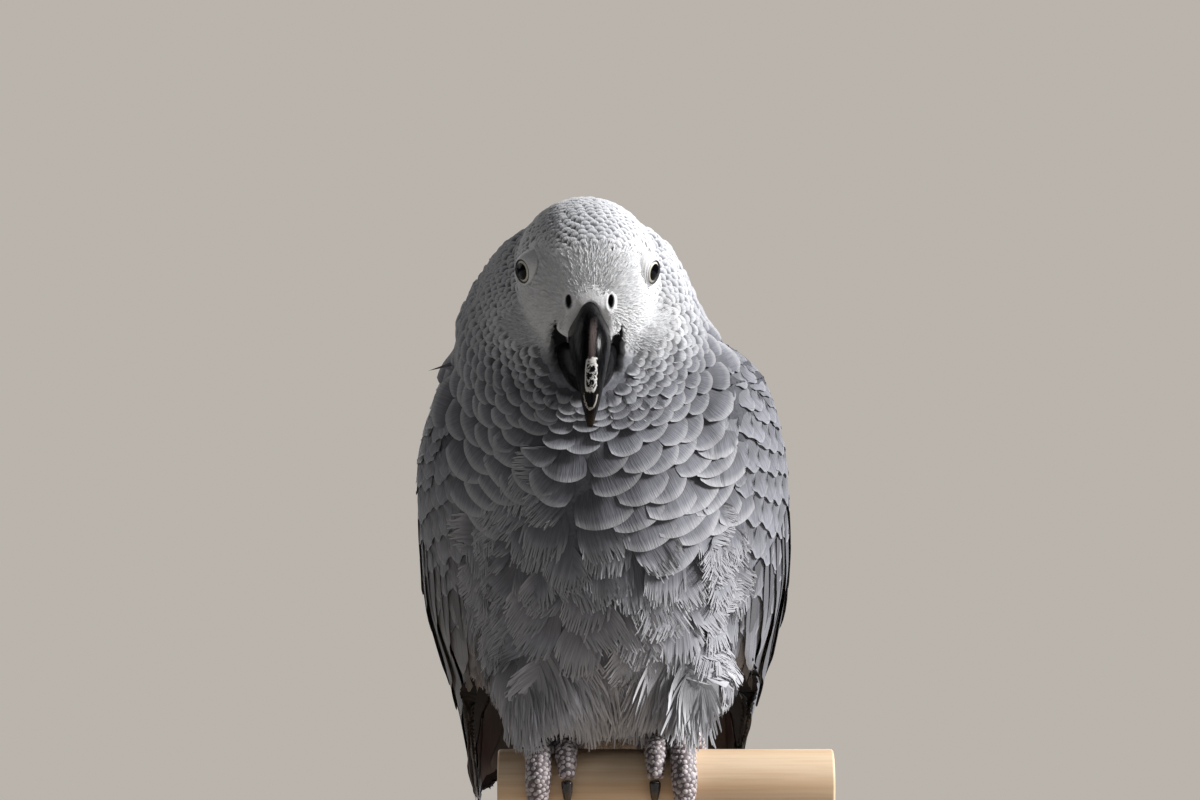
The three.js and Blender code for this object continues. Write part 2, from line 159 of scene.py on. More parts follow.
class Surface:
    """A mesh as arrays, with the tree that finds the nearest place on it."""

    def __init__(self, mesh):
        mesh.calc_loop_triangles()
        self.points = np.empty((len(mesh.vertices), 3))
        mesh.vertices.foreach_get("co", self.points.ravel())
        flat = np.empty(len(mesh.loop_triangles) * 3, np.int32)
        mesh.loop_triangles.foreach_get("vertices", flat)
        self.triangles = flat.reshape(-1, 3).astype(int)
        a, b, c = self.corners()
        self.face_normals = np.cross(b - a, c - a)
        self.normals = self.spread(self.face_normals)
        self.tree = BVHTree.FromPolygons(self.points.tolist(), self.triangles.tolist())

    def corners(self, faces=slice(None)):
        return (self.points[self.triangles[faces, k]] for k in range(3))

    def edges(self):
        """One side of each triangle, as pairs of vertices."""
        return np.sort(self.triangles[:, :2], 1)

    def spread(self, per_face):
        """Face vectors summed to the vertices and made unit length."""
        total = np.zeros_like(self.points)
        for k in range(3):
            np.add.at(total, self.triangles[:, k], per_face)
        return unit(total)

    def nearest(self, places):
        """For each place the nearest point of the surface, and the triangle it lies in."""
        found = [self.tree.find_nearest(p) for p in np.asarray(places).tolist()]
        return np.array([f[0] for f in found]), np.array([f[2] for f in found])

    def blend(self, values, places, faces):
        """Vertex values at places within the given triangles."""
        a, b, c = self.corners(faces)
        total = np.cross(b - a, c - a)
        area = np.maximum((total**2).sum(1), 1e-24)
        wa = (np.cross(b - places, c - places) * total).sum(1) / area
        wb = (np.cross(c - places, a - places) * total).sum(1) / area
        weights = np.clip(np.stack([wa, wb, 1 - wa - wb], 1), 0, 1)
        weights /= weights.sum(1, keepdims=True)
        return np.einsum("nk,nk...->n...", weights, values[self.triangles[faces]])

    def normals_at(self, places, faces):
        return unit(self.blend(self.normals, places, faces))


class Crowd:
    """Places kept apart from one another, found again by the cell they lie in."""

    def __init__(self, cell):
        self.cell = cell
        self.cells = {}

    def takes(self, spot, gap):
        """Keeps a place, unless one kept before lies within the gap."""
        home = tuple((spot / self.cell).astype(int))
        around = itertools.product(*((k - 1, k, k + 1) for k in home))
        near = [other for cell in around for other in self.cells.get(cell, [])]
        if any(np.sum((spot - other) ** 2) <= gap**2 for other in near):
            return False
        self.cells.setdefault(home, []).append(spot)
        return True


def unit(vectors):
    return vectors / np.maximum(np.linalg.norm(vectors, axis=-1, keepdims=True), 1e-12)


def mix(a, b, share):
    """From a to b by a share for each row; either may be a single colour."""
    return a + (b - a) * np.asarray(share)[:, None]


def turned_about(runs, normals, angle):
    """Each run turned about its normal by its own angle."""
    return runs * np.cos(angle)[:, None] + np.cross(normals, runs) * np.sin(angle)[:, None]


def even_out(values, pairs, rounds):
    """Vertex values drawn towards their neighbours' mean, half the way in each round."""
    count = np.zeros(len(values))
    np.add.at(count, pairs[:, 0], 1)
    np.add.at(count, pairs[:, 1], 1)
    count = np.maximum(count, 1)
    for _ in range(rounds):
        total = np.zeros_like(values)
        np.add.at(total, pairs[:, 0], values[pairs[:, 1]])
        np.add.at(total, pairs[:, 1], values[pairs[:, 0]])
        values = 0.5 * values + 0.5 * total / (count if values.ndim == 1 else count[:, None])
    return values


# ---- Skin: the flesh solids as one surface, drawn in by the depth of the coat --------------------

FLESH = ["head", "neck", "trunk", "wing_left", "wing_right", "thigh_left", "thigh_right"]
VOXEL = 1.15 * MM
DEPTH_AWAY = [16, 22, 30, 42, 60, 90, 140]  # from the head's middle, in millimetres
DEPTH = [0.5, 0.9, 1.4, 2.3, 3.0, 3.4, 2.6]
THIN_SHARE = 0.40  # of the flesh's thickness, which the coat may take at most
THICK = 14 * MM  # past this the thickness doesn't matter


def coat_depth(points):
    """How far the feather tips stand from the skin."""
    return MM * np.interp(head_distance(points), DEPTH_AWAY, DEPTH)


def swell(points):
    """How far the solids are swollen to close the gaps and grooves between them; taken off again later."""
    side, front, up = local(points).T
    far = head_distance(points)
    trunk = smooth(-2, 22, up) * smooth(-66, -40, front) * smooth(24, 38, far)
    return MM * (0.4 + 0.6 * smooth(20, 32, far) + 2.8 * trunk - 0.5 * smooth(-60, -80, front))


def joined_flesh():
    joined = bmesh.new()
    for node in FLESH:
        part = clean_copy(node)
        part.normal_update()
        grown = swell([v.co for v in part.verts])
        for v, step in zip(part.verts, grown.tolist()):
            v.co += v.normal * step
        mesh = mesh_of(part, node)
        joined.from_mesh(mesh)
        bpy.data.meshes.remove(mesh)
    one_surface = ("REMESH", {"mode": "VOXEL", "voxel_size": VOXEL})
    return reshaped(mesh_of(joined, "flesh"), one_surface, ("SMOOTH", {"factor": 0.5, "iterations": 6}))


def nearest_node(points):
    """The index in FLESH of the solid nearest to each point."""
    corners, faces, owners = [], [], []
    for index, node in enumerate(FLESH):
        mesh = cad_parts[node].data
        mesh.calc_loop_triangles()
        start = len(corners)
        corners += [v.co for v in mesh.vertices]
        faces += [[start + i for i in t.vertices] for t in mesh.loop_triangles]
        owners += [index] * len(mesh.loop_triangles)
    tree = BVHTree.FromPolygons(corners, faces)
    return np.array([owners[tree.find_nearest(p)[2]] for p in points.tolist()])


def drawn_in(mesh):
    """Moves the skin inside by the coat's depth, and by less where the flesh is thin."""
    surface = Surface(mesh)
    edges = surface.edges()
    side, front, up = local(surface.points).T
    belly = smooth(58, 40, up) * smooth(-46, -32, front) * smooth(48, 42, np.abs(side))
    surface.points = mix(surface.points, even_out(surface.points, edges, 130), belly)
    wings = [FLESH.index("wing_left"), FLESH.index("wing_right")]
    share = even_out(np.isin(nearest_node(surface.points), wings).astype(float), edges, 50)
    groove = np.clip(5 * share * (1 - share), 0, 1) * smooth(12, 26, up) * smooth(-30, -12, front)
    surface.points = mix(surface.points, even_out(surface.points, edges, 140), groove)
    mesh.vertices.foreach_set("co", surface.points.ravel())
    surface = Surface(mesh)
    depth = coat_depth(surface.points) + swell(surface.points)
    starts = surface.points - surface.normals * 0.2 * MM
    for i, (start, inward) in enumerate(zip(starts.tolist(), (-surface.normals).tolist())):
        far = surface.tree.ray_cast(start, inward, THICK)[3]
        if far is not None:
            depth[i] = min(depth[i], THIN_SHARE * far)
    surface.points -= surface.normals * depth[:, None]
    mesh.vertices.foreach_set("co", surface.points.ravel())
    mesh.update()
    return Surface(mesh)


# ---- Markings: one colour for each place, shared by skin and feathers ----------------------------

WHITE = np.array([0.79, 0.795, 0.815])
CROWN = np.array([0.435, 0.445, 0.49])
RUFF = np.array([0.235, 0.24, 0.275])
BREAST = np.array([0.19, 0.192, 0.222])
BELLY = np.array([0.35, 0.348, 0.385])
VENT = np.array([0.68, 0.675, 0.71])
MANTLE = np.array([0.135, 0.138, 0.16])
COVERT = np.array([0.225, 0.23, 0.262])
QUILL = np.array([0.040, 0.041, 0.049])
SCARLET = np.array([0.42, 0.012, 0.018])
# Painted shadow for the hollows in the corners of the bill.
GAPE_SHADOW = np.array([0.012, 0.011, 0.012])


def markings(points):
    """Body colour at each place, with how pale the feathers' rims are there."""
    side, front, up = local(points).T
    hs, hf, hu = head_local(points).T
    far = head_distance(points)
    colour = mix(CROWN, RUFF, smooth(24, 42, far))
    colour = mix(colour, BREAST, smooth(44, 62, far))
    lower = smooth(64, 34, up) * smooth(-60, -20, front)
    colour = mix(colour, BELLY, lower * 0.8)
    colour = mix(colour, VENT, smooth(42, 8, up) * smooth(-70, -30, front) * 0.8)
    behind = smooth(2, -22, front + 0.35 * (up - 90)) * smooth(36, 56, far)
    colour = mix(colour, MANTLE, behind * smooth(5, 30, up + 0.6 * (front + 60)))
    brow = smooth(12, 4, np.abs(hs)) * smooth(12, 16, hf)
    face = smooth(18, 12, np.abs(hu + 5)) * smooth(-4, 6, hf) + brow
    colour = mix(colour, WHITE, np.clip(face, 0, 1) * smooth(34, 24, far))
    red = smooth(-66, -76, front) * smooth(40, 20, up)
    colour = mix(colour, SCARLET, red)
    rim = np.interp(far, [20, 34, 60, 100], [0.95, 0.5, 0.42, 0.28]) * (1 - 0.8 * red) * (1 - 0.35 * behind)
    return colour, rim


# ---- Finishes ------------------------------------------------------------------------------------


class Finish:
    """A material under construction, with short ways to add and join its nodes."""

    def __init__(self, name, roughness=0.5, **sockets):
        self.material = bpy.data.materials.new(name)
        self.material.use_nodes = True
        self.tree = self.material.node_tree
        self.shader = self.tree.nodes["Principled BSDF"]
        self.shader.inputs["Roughness"].default_value = roughness
        for socket, value in sockets.items():
            self.shader.inputs[socket.replace("_", " ")].default_value = value

    def add(self, kind, inputs=None, **settings):
        node = self.tree.nodes.new(kind)
        for key, value in settings.items():
            setattr(node, key, value)
        for key, value in (inputs or {}).items():
            self.join(value, node.inputs[key])
        return node

    def join(self, value, socket):
        if isinstance(value, bpy.types.NodeSocket):
            self.tree.links.new(value, socket)
        else:
            socket.default_value = value

    def math(self, operation, a, b=0.0, clamp=False):
        return self.add("ShaderNodeMath", {0: a, 1: b}, operation=operation, use_clamp=clamp).outputs[0]

    def times(self, a, b):
        return self.math("MULTIPLY", a, b)

    def plus(self, a, b):
        return self.math("ADD", a, b)

    def minus(self, a, b):
        return self.math("SUBTRACT", a, b)

    def absolute(self, a):
        return self.math("ABSOLUTE", a)

    def range(self, value, low, high, out_low=0.0, out_high=1.0):
        inputs = {"Value": value, "From Min": low, "From Max": high, "To Min": out_low, "To Max": out_high}
        return self.add("ShaderNodeMapRange", inputs, interpolation_type="SMOOTHSTEP").outputs["Result"]

    def mix(self, share, a, b, blend="MIX"):
        node = self.add("ShaderNodeMix", data_type="RGBA", blend_type=blend)
        self.join(share, node.inputs["Factor"])
        self.join(a, node.inputs[6])
        self.join(b, node.inputs[7])
        return node.outputs[2]

    def toned(self, colour, tone):
        """A colour made lighter or darker by one number."""
        grey = self.add("ShaderNodeCombineColor", {0: tone, 1: tone, 2: tone}).outputs[0]
        return self.mix(1.0, colour, grey, "MULTIPLY")

    def coat(self):
        """The colour painted on the mesh, and in its alpha how pale a feather's rim is."""
        return self.add("ShaderNodeAttribute", attribute_name="coat").outputs

    def place(self, scale=(1, 1, 1), turn=(0, 0, 0), shift=(0, 0, 0)):
        coordinates = self.add("ShaderNodeTexCoord").outputs["Object"]
        inputs = {"Vector": coordinates, "Scale": scale, "Rotation": turn, "Location": shift}
        return self.add("ShaderNodeMapping", inputs).outputs["Vector"]

    def stretched(self, vector, scale):
        return self.add("ShaderNodeMapping", {"Vector": vector, "Scale": scale}).outputs["Vector"]

    def noise(self, vector, scale, detail=3.0, rough=0.55):
        inputs = {"Vector": vector, "Scale": scale, "Detail": detail, "Roughness": rough}
        return self.add("ShaderNodeTexNoise", inputs).outputs["Fac"]

    def colour(self, value):
        self.join(value, self.shader.inputs["Base Color"])

    def bump(self, height, strength=0.4, distance=0.0003):
        inputs = {"Height": height, "Strength": strength, "Distance": distance}
        self.join(self.add("ShaderNodeBump", inputs).outputs["Normal"], self.shader.inputs["Normal"])

    def rough(self, value):
        self.join(value, self.shader.inputs["Roughness"])


def rgba(colour):
    return (*[float(c) for c in colour], 1.0)


def feather_finish(name, barbs=26.0, shaft=0.25, roughness=0.72, rim_from=0.86, base=(0.35, 0.80, 0.62)):
    """Barbs run out to a pale rim; `base` is where the painted shade at each feather's root, standing for the
    shadow of the row above, starts and ends, and its tone.
    """
    f = Finish(name, roughness, Specular_IOR_Level=0.28, Sheen_Weight=0.12)
    coat = f.coat()
    vane = f.add("ShaderNodeUVMap", uv_map="vane").outputs["UV"]
    parts = f.add("ShaderNodeSeparateXYZ", {"Vector": vane}).outputs
    strands = f.noise(f.stretched(vane, (barbs, 2.2, 1)), 1.0, 2.0)
    edge = f.range(parts["Y"], rim_from, 0.985)
    # Painted shade: each feather is darker towards its root, where the row above would shadow it.
    shade = f.range(parts["Y"], base[0], base[1], base[2], 1.0)
    across = f.absolute(f.minus(f.math("FRACT", parts["X"]), 0.5))
    quill = f.range(across, 0.035, 0.012, 0.0, shaft)
    pale = f.mix(0.85, coat["Color"], rgba(WHITE))
    rim = f.mix(f.times(edge, coat["Alpha"]), coat["Color"], pale)
    shafted = f.mix(quill, rim, (0.05, 0.05, 0.06, 1))
    f.colour(f.toned(shafted, f.times(f.range(strands, 0.25, 0.75, 0.80, 1.16), shade)))
    f.bump(strands, 0.5, 0.00025)
    return f.material


def painted(name, roughness, scale=2600, detail=3.0, tones=(0.86, 1.06), bump=(0.35, 0.0002), **sockets):
    """Colour from the mesh's own attribute, with a fine grain."""
    f = Finish(name, roughness, **sockets)
    coat = f.coat()
    grain = f.noise(f.place(), scale, detail)
    f.colour(f.toned(coat["Color"], f.range(grain, 0.3, 0.7, *tones)))
    f.bump(grain, *bump)
    return f.material


# ---- Vanes: one small pattern mesh for each kind of feather, laid over the skin many times -------

WHOLE = 2  # a split past the tip, for a vane whose strips don't part
PATCH = 0.0015  # half of one feather's place on the unwrap
VANE_EDGE = 0.002  # keeps one feather's place on the vane map off the next one's
ROOT_SUNK = 0.15 * MM
QUILL_STRAY = 0.25 * MM
SLIMMEST = 6 * MM  # the least width of a folded form that a long feather spreads over


class Vane:
    """A strip pattern: a runs -1 to 1 across, b 0 to 1 from root to tip, and strips part beyond `split`."""

    def __init__(self, strips, steps, split, pinch=0.5):
        bm = bmesh.new()
        bmesh.ops.create_grid(bm, x_segments=strips, y_segments=steps, size=1)
        rows = [e for e in bm.edges if abs(e.verts[0].co.x - e.verts[1].co.x) < 1e-6]
        parting = 2 * split - 1 - 1e-6
        inner = [e for e in rows if abs(e.verts[0].co.x) < 0.999 and min(v.co.y for v in e.verts) > parting]
        if inner:
            bmesh.ops.split_edges(bm, edges=inner)
        bm.verts.index_update()
        self.a = np.array([v.co.x for v in bm.verts])
        self.b = np.array([(v.co.y + 1) / 2 for v in bm.verts])
        self.faces = np.array([[v.index for v in f.verts] for f in bm.faces])
        centres = np.array([np.mean([f.calc_center_median().x for f in v.link_faces]) for v in bm.verts])
        bm.free()
        self.index = np.clip(((centres + 1) / 2 * strips).astype(int), 0, strips - 1)
        self.strips = strips
        self.free = np.zeros(len(self.b))
        if inner:
            self.free = np.clip((self.b - split) / (1 - split), 0, 1)
            self.a = self.a + (centres - self.a) * pinch * smooth(max(split, 0.5), 1.0, self.b) ** 2

    def strays(self, count, spread=1.0):
        """A random number for each strip of each feather, given at each of its vertices."""
        return rng.normal(0, spread, (count, self.strips))[:, self.index]


class Coat:
    """Feathers gathered for one piece of the coat."""

    def __init__(self, vane, surface):
        self.vane = vane
        self.surface = surface
        self.points, self.uvs, self.patches, self.colours = [], [], [], []

    def keep(self, points, patch, colour, rim, own=0.0, edge=0.0):
        """Adds laid feathers with their places on both maps, their colour and how pale their rims are."""
        n, a, b = len(points), self.vane.a, self.vane.b
        level = np.zeros((n, len(a)))
        self.points.append(points)
        self.uvs.append(np.stack([np.clip(0.5 + a / 2, edge, 1 - edge) + own + level, b + level], -1))
        self.patches.append(patch[:, None] + np.stack([a + level, 2 * b - 1 + level], -1) * PATCH)
        tinted = np.concatenate([np.broadcast_to(colour, (n, 3)), column(rim, n)], 1)
        self.colours.append(np.repeat(tinted[:, None], len(a), 1))

    def lay(self, roots, runs, width, length, lift, colour, rim, *, round_tip=0.75, waist=0.45,
            camber=0.0, stray=0.0, ruffle=0.0, drape=True):
        """Lays one feather at each root, running along `runs`. Sizes are in metres, one for each feather."""
        v, n = self.vane, len(roots)
        width, length, lift = width[:, None], length[:, None], lift[:, None]
        normals = self.surface.normals_at(roots, self.surface.nearest(roots)[1])
        runs = unit(runs - normals * (runs * normals).sum(1, keepdims=True))
        sides = np.cross(runs, normals)
        a, b = v.a[None, :], v.b[None, :]
        swing = v.strays(n) * v.free[None, :]
        reach = 1 + v.strays(n, 0.35) * 0.16 * v.free[None, :] ** 2
        wide = waist + (1 - waist) * np.sin(np.clip(b * 1.35, 0, 1) * np.pi / 2)
        x = a * wide * width / 2 + swing * stray
        tip = 1 - round_tip * 0.5 * a**2 * (0.6 + 0.4 * a**2)
        y = b * length * tip * reach
        rise = v.strays(n) * v.free[None, :]
        height = lift * b**1.3 - camber * a**2 * width * (0.4 + 0.6 * b) - ROOT_SUNK * (1 - b)
        height = height + np.abs(rise) * ruffle
        places = roots[:, None] + sides[:, None] * x[..., None] + runs[:, None] * y[..., None]
        ground = places.reshape(-1, 3)
        up = np.repeat(normals, len(v.a), 0)
        if drape:
            ground, faces = self.surface.nearest(ground)
            up = self.surface.normals_at(ground, faces)
        points = (ground + up * height.reshape(-1, 1)).reshape(n, -1, 3)
        self.keep(points, round_the_spine(roots), colour, rim, rng.integers(0, 40, (n, 1)), VANE_EDGE)

    def lay_along(self, chart, tracks, width, colour, rim, lift, tilt=0.0, waist=0.7, sharp=0.9):
        """Long feathers over a map. The tracks are four columns: v root, t root, v tip and t tip."""
        v = self.vane
        tracks = np.stack(np.broadcast_arrays(*tracks), 1)
        n = len(tracks)
        width, lift, tilt = column(width, n), column(lift, n), column(tilt, n)
        a, b = v.a[None, :], v.b[None, :]
        swing = v.strays(n) * v.free[None, :] * QUILL_STRAY
        v_root, t_root, v_tip, t_tip = (tracks[:, k, None] for k in range(4))
        tip = 1 - sharp * np.abs(a) ** 3 * 0.5 * width / ((v_tip - v_root) * chart.length)
        along = v_root + (v_tip - v_root) * b * np.where(b > 0.5, tip, 1)
        middle = t_root + (t_tip - t_root) * b
        wide = waist + (1 - waist) * np.sin(np.clip(b * 2.2, 0, 1) * np.pi / 2)
        wide = wide * (1 - 0.25 * smooth(0.8, 1.0, b))
        across = middle + (a * wide * width / 2 + swing) / np.maximum(chart.wide(along), SLIMMEST)
        ground, up = chart.place(along, across)
        over = np.clip(across, 0, 1) - across
        height = lift * (0.35 + 0.65 * b) - tilt * a * width / 2 - np.abs(over) * 0.2 * chart.wide(along)
        patch = 0.02 + 0.96 * tracks[:, [1, 0]]
        self.keep(ground + up * height[..., None], patch, colour, rim, rng.integers(0, 40, (n, 1)), VANE_EDGE)

    def build(self, name, finish, **kept):
        points = np.concatenate([p.reshape(-1, 3) for p in self.points])
        count = sum(len(p) for p in self.points)
        faces = (self.vane.faces[None] + np.arange(count)[:, None, None] * len(self.vane.a)).reshape(-1, 4)
        mesh = bpy.data.meshes.new(name)
        mesh.vertices.add(len(points))
        mesh.vertices.foreach_set("co", points.astype(np.float32).ravel())
        mesh.loops.add(faces.size)
        mesh.loops.foreach_set("vertex_index", faces.astype(np.int32).ravel())
        mesh.polygons.add(len(faces))
        mesh.polygons.foreach_set("loop_start", np.arange(0, faces.size, 4, dtype=np.int32))
        mesh.update(calc_edges=True)
        corners = faces.ravel()
        for layer, values in (("vane", self.uvs), ("OFBake", self.patches)):
            flat = np.concatenate([u.reshape(-1, 2) for u in values])[corners]
            mesh.uv_layers.new(name=layer).data.foreach_set("uv", flat.astype(np.float32).ravel())
        colour = mesh.attributes.new("coat", "FLOAT_COLOR", "POINT")
        flat = np.concatenate([c.reshape(-1, 4) for c in self.colours])
        colour.data.foreach_set("color", np.clip(flat, 0, 1).astype(np.float32).ravel())
        mesh.shade_smooth()
        return piece(name, mesh, finish, **kept)


def column(value, count):
    """A number, or one for each feather, as a column."""
    return np.broadcast_to(np.asarray(value, float), (count,))[:, None]


def round_the_spine(points):
    """The unwrap of the body: the angle round an upright line against the height."""
    side, front, up = local(points).T
    turn = np.arctan2(side, front + 20 - 0.4 * (up - 60)) / (2 * np.pi) + 0.5
    return np.stack([0.02 + 0.96 * turn, np.clip((up + 30) / 200, 0.01, 0.99)], 1)


# ---- Rows: lines across the lie of the feathers, counted from the face ---------------------------

BILL_ROOT = on_head(0, 19, -4)

ROWS_AWAY = [17, 22, 28, 38, 46, 56, 80, 120]  # from the head's middle, in millimetres
ROWS_SHOWN = [1.65, 1.7, 1.9, 2.6, 4.2, 5.6, 6.5, 7.5]
WIDTHS_AWAY = [17, 22, 28, 38, 46, 54, 66, 80, 120]
WIDTHS = [3.3, 3.4, 3.6, 5.2, 9.0, 12.9, 15.0, 15.0, 13]
SIDE_BY_SIDE = 0.72  # of a feather's width, from one root to the next


def row_height(points):
    """How much of each feather shows below the one above it, in metres."""
    back = smooth(0, -30, local(points)[:, 1])
    return np.interp(head_distance(points), ROWS_AWAY, ROWS_SHOWN) * (1 - 0.12 * back) * MM


def feather_width(points):
    return MM * np.interp(head_distance(points), WIDTHS_AWAY, WIDTHS)


def count_rows(surface, allowed):
    """Rows between the bill and each vertex, by the shortest way over the skin, a little smoothed."""
    points, size = surface.points, row_height(surface.points)
    pairs = np.concatenate([surface.triangles[:, sides] for sides in ([0, 1], [1, 2], [2, 0])])
    pairs = np.unique(np.sort(pairs, 1), axis=0)
    pairs = pairs[allowed[pairs].all(1)]
    i, j = pairs.T
    cost = np.linalg.norm(points[i] - points[j], axis=1) * 2 / (size[i] + size[j])
    links = [[] for _ in points]
    for (i, j), c in zip(pairs.tolist(), cost.tolist()):
        links[i].append((j, c))
        links[j].append((i, c))
    rows = np.full(len(points), np.inf)
    near = np.linalg.norm(points - np.array(BILL_ROOT), axis=1)
    heap = []
    for i in np.flatnonzero((near < 7 * MM) & allowed).tolist():
        rows[i] = near[i] / size[i]
        heap.append((rows[i], i))
    heapq.heapify(heap)
    while heap:
        so_far, i = heapq.heappop(heap)
        if so_far > rows[i]:
            continue
        for j, c in links[i]:
            if so_far + c < rows[j]:
                rows[j] = so_far + c
                heapq.heappush(heap, (rows[j], j))
    reached = np.isfinite(rows)
    rows[~reached] = 0
    pairs = pairs[reached[pairs].all(1)]
    near, wide = even_out(rows, pairs, 20), even_out(rows, pairs, 160)
    return near + (wide - near) * smooth(26, 44, head_distance(points)), reached


def slope_of(surface, values):
    """The direction in which a vertex value grows fastest over the surface."""
    a, b, c = surface.corners()
    normal = surface.face_normals
    double = np.maximum((normal**2).sum(1), 1e-24)[:, None]
    at_a, at_b, at_c = (values[surface.triangles[:, k], None] for k in range(3))
    grown = at_a * np.cross(normal, c - b) + at_b * np.cross(normal, a - c) + at_c * np.cross(normal, b - a)
    return surface.spread(grown / double * np.linalg.norm(normal, axis=1)[:, None])


def chains_at(surface, values, level, allowed):
    """The lines on the surface where a vertex value passes a level, as arrays of points."""
    t = surface.triangles
    above = values[t] > level
    crossed = np.flatnonzero(above.any(1) & ~above.all(1) & allowed[t].all(1))
    links = {}
    for (a, b, c), (fa, fb, fc) in zip(t[crossed].tolist(), above[crossed].tolist()):
        sides = ((a, b, fa, fb), (b, c, fb, fc), (c, a, fc, fa))
        ends = [(min(i, j), max(i, j)) for i, j, f, g in sides if f != g]
        links.setdefault(ends[0], []).append(ends[1])
        links.setdefault(ends[1], []).append(ends[0])
    chains = []
    starts = sorted(links, key=lambda k: (len(links[k]) > 1, k))
    used = set()
    for start in starts:
        if start in used:
            continue
        chain, here = [start], start
        used.add(start)
        while True:
            onward = [k for k in links[here] if k not in used]
            if not onward:
                break
            here = onward[0]
            used.add(here)
            chain.append(here)
        if len(chain) > 4:
            i, j = np.array(chain).T
            share = (level - values[i]) / (values[j] - values[i])
            chains.append(surface.points[i] + (surface.points[j] - surface.points[i]) * share[:, None])
    return chains


def staggered_roots(surface, values, allowed):
    """Feather roots along every row, each row shifted by half a feather from the one before."""
    found = []
    for level in np.arange(1.0, values[allowed].max(), 1.0):
        for chain in chains_at(surface, values, level, allowed):
            steps = np.linalg.norm(np.diff(chain, axis=0), axis=1)
            apart = feather_width((chain[1:] + chain[:-1]) / 2) * SIDE_BY_SIDE
            along = np.concatenate([[0], np.cumsum(steps / apart)])
            wanted = np.arange(0.5 * (level % 2) + 0.25, along[-1], 1.0)
            wanted = wanted + rng.uniform(-0.13, 0.13, len(wanted))
            found.append(np.stack([np.interp(wanted, along, chain[:, k]) for k in range(3)], 1))
    return np.concatenate(found)


# ---- Wing and tail maps: a grid of places over a folded form, from its leading to its trailing edge ----


class Map:
    """Places on a folded form: v runs along it and t across it, from its low edge to its high one."""

    def __init__(self, surface, chosen, along, out, rise, slices=46, across=24, wrap=10 * MM, reach=None):
        along, out, rise = np.array(along), np.array(out), np.array(rise)
        run = surface.points @ along
        start, end = reach or (run[chosen].min() + 0.4 * MM, run[chosen].max() - 1.0 * MM)
        lines = []
        for level in start + (end - start) * np.linspace(0, 1, 120) ** 1.6:
            chains = chains_at(surface, run, level, chosen)
            if not chains:
                continue
            line = max(chains, key=lambda c: np.linalg.norm(np.diff(c, axis=0), axis=1).sum())
            line = self.outer_part(line, out, rise, wrap)
            if line is not None:
                steps = np.concatenate([[0], np.cumsum(np.linalg.norm(np.diff(line, axis=0), axis=1))])
                shares = np.linspace(0, steps[-1], across)
                lines.append(np.stack([np.interp(shares, steps, line[:, k]) for k in range(3)], 1))
        lines = np.array(lines)
        for _ in range(3):
            lines[1:-1] = (lines[:-2] + 2 * lines[1:-1] + lines[2:]) / 4
        gaps = np.linalg.norm(np.diff(lines, axis=0), axis=2).mean(1)
        way = np.concatenate([[0], np.cumsum(gaps)])
        wanted = np.linspace(0, way[-1], slices)
        row = np.clip(np.searchsorted(way, wanted) - 1, 0, len(way) - 2)
        part = ((wanted - way[row]) / (way[row + 1] - way[row]))[:, None, None]
        grid = lines[row] * (1 - part) + lines[row + 1] * part
        for _ in range(3):
            grid[1:-1] = (grid[:-2] + 2 * grid[1:-1] + grid[2:]) / 4
        self.grid = grid
        self.length = wanted[-1] - wanted[0]
        self.width = np.linalg.norm(np.diff(grid, axis=1), axis=2).sum(1)
        self.up = unit(np.cross(np.gradient(grid, axis=0), np.gradient(grid, axis=1)))
        if (self.up @ out).mean() < 0:
            self.up = -self.up

    @staticmethod
    def outer_part(line, out, rise, wrap):
        """The stretch of a slice from just round its low edge, over the outside, to its high edge."""
        height = line @ rise
        closed = np.linalg.norm(line[0] - line[-1]) < 2.5 * MM
        low, high = int(height.argmin()), int(height.argmax())
        if closed:
            line = np.roll(line, -low, axis=0)
            high = (high - low) % len(line)
            first, second = line[: high + 1], line[high:][::-1]
            if len(first) < 3 or len(second) < 3:
                return None
            return first if (first @ out).mean() > (second @ out).mean() else second
        if low > high:
            line, low, high = line[::-1], len(line) - 1 - low, len(line) - 1 - high
        steps = np.concatenate([[0], np.cumsum(np.linalg.norm(np.diff(line, axis=0), axis=1))])
        inside = (steps >= steps[low] - wrap) & (steps <= steps[high] + 1 * MM)
        return line[inside] if inside.sum() > 3 else None

    def pick(self, table, v, t):
        rows, columns = table.shape[:2]
        i = np.clip(v, 0, 1) * (rows - 1)
        j = np.clip(t, 0, 1) * (columns - 1)
        i0, j0 = np.minimum(i.astype(int), rows - 2), np.minimum(j.astype(int), columns - 2)
        fi, fj = (i - i0)[..., None], (j - j0)[..., None]
        near = table[i0, j0] * (1 - fj) + table[i0, j0 + 1] * fj
        far = table[i0 + 1, j0] * (1 - fj) + table[i0 + 1, j0 + 1] * fj
        return near * (1 - fi) + far * fi

    def place(self, v, t):
        """Places and outward ways, running straight on for a little past either edge."""
        ground, up = self.pick(self.grid, v, t), unit(self.pick(self.up, v, t))
        past = (t - np.clip(t, 0, 1)) * self.wide(v)
        high = t > 0.5
        inner, edge = np.where(high, 0.93, 0.07), np.where(high, 1.0, 0.0)
        inward = unit(self.pick(self.grid, v, inner) - self.pick(self.grid, v, edge))
        return ground - inward * np.minimum(np.abs(past), 1.6 * MM)[..., None], up

    def wide(self, v):
        return np.interp(v, np.linspace(0, 1, len(self.width)), self.width)


# ---- Build the skin ------------------------------------------------------------------------------


def paint(mesh, colours):
    layer = mesh.attributes.new("coat", "FLOAT_COLOR", "POINT")
    full = np.concatenate([colours, np.ones((len(colours), 1))], 1)
    layer.data.foreach_set("color", full.astype(np.float32).ravel())


NOSTRIL = np.array([5.9, -2.9])


def off_nostril(hs, hu):
    return np.hypot((np.abs(hs) - NOSTRIL[0]) / 0.8, (hu - NOSTRIL[1]) / 1.7)


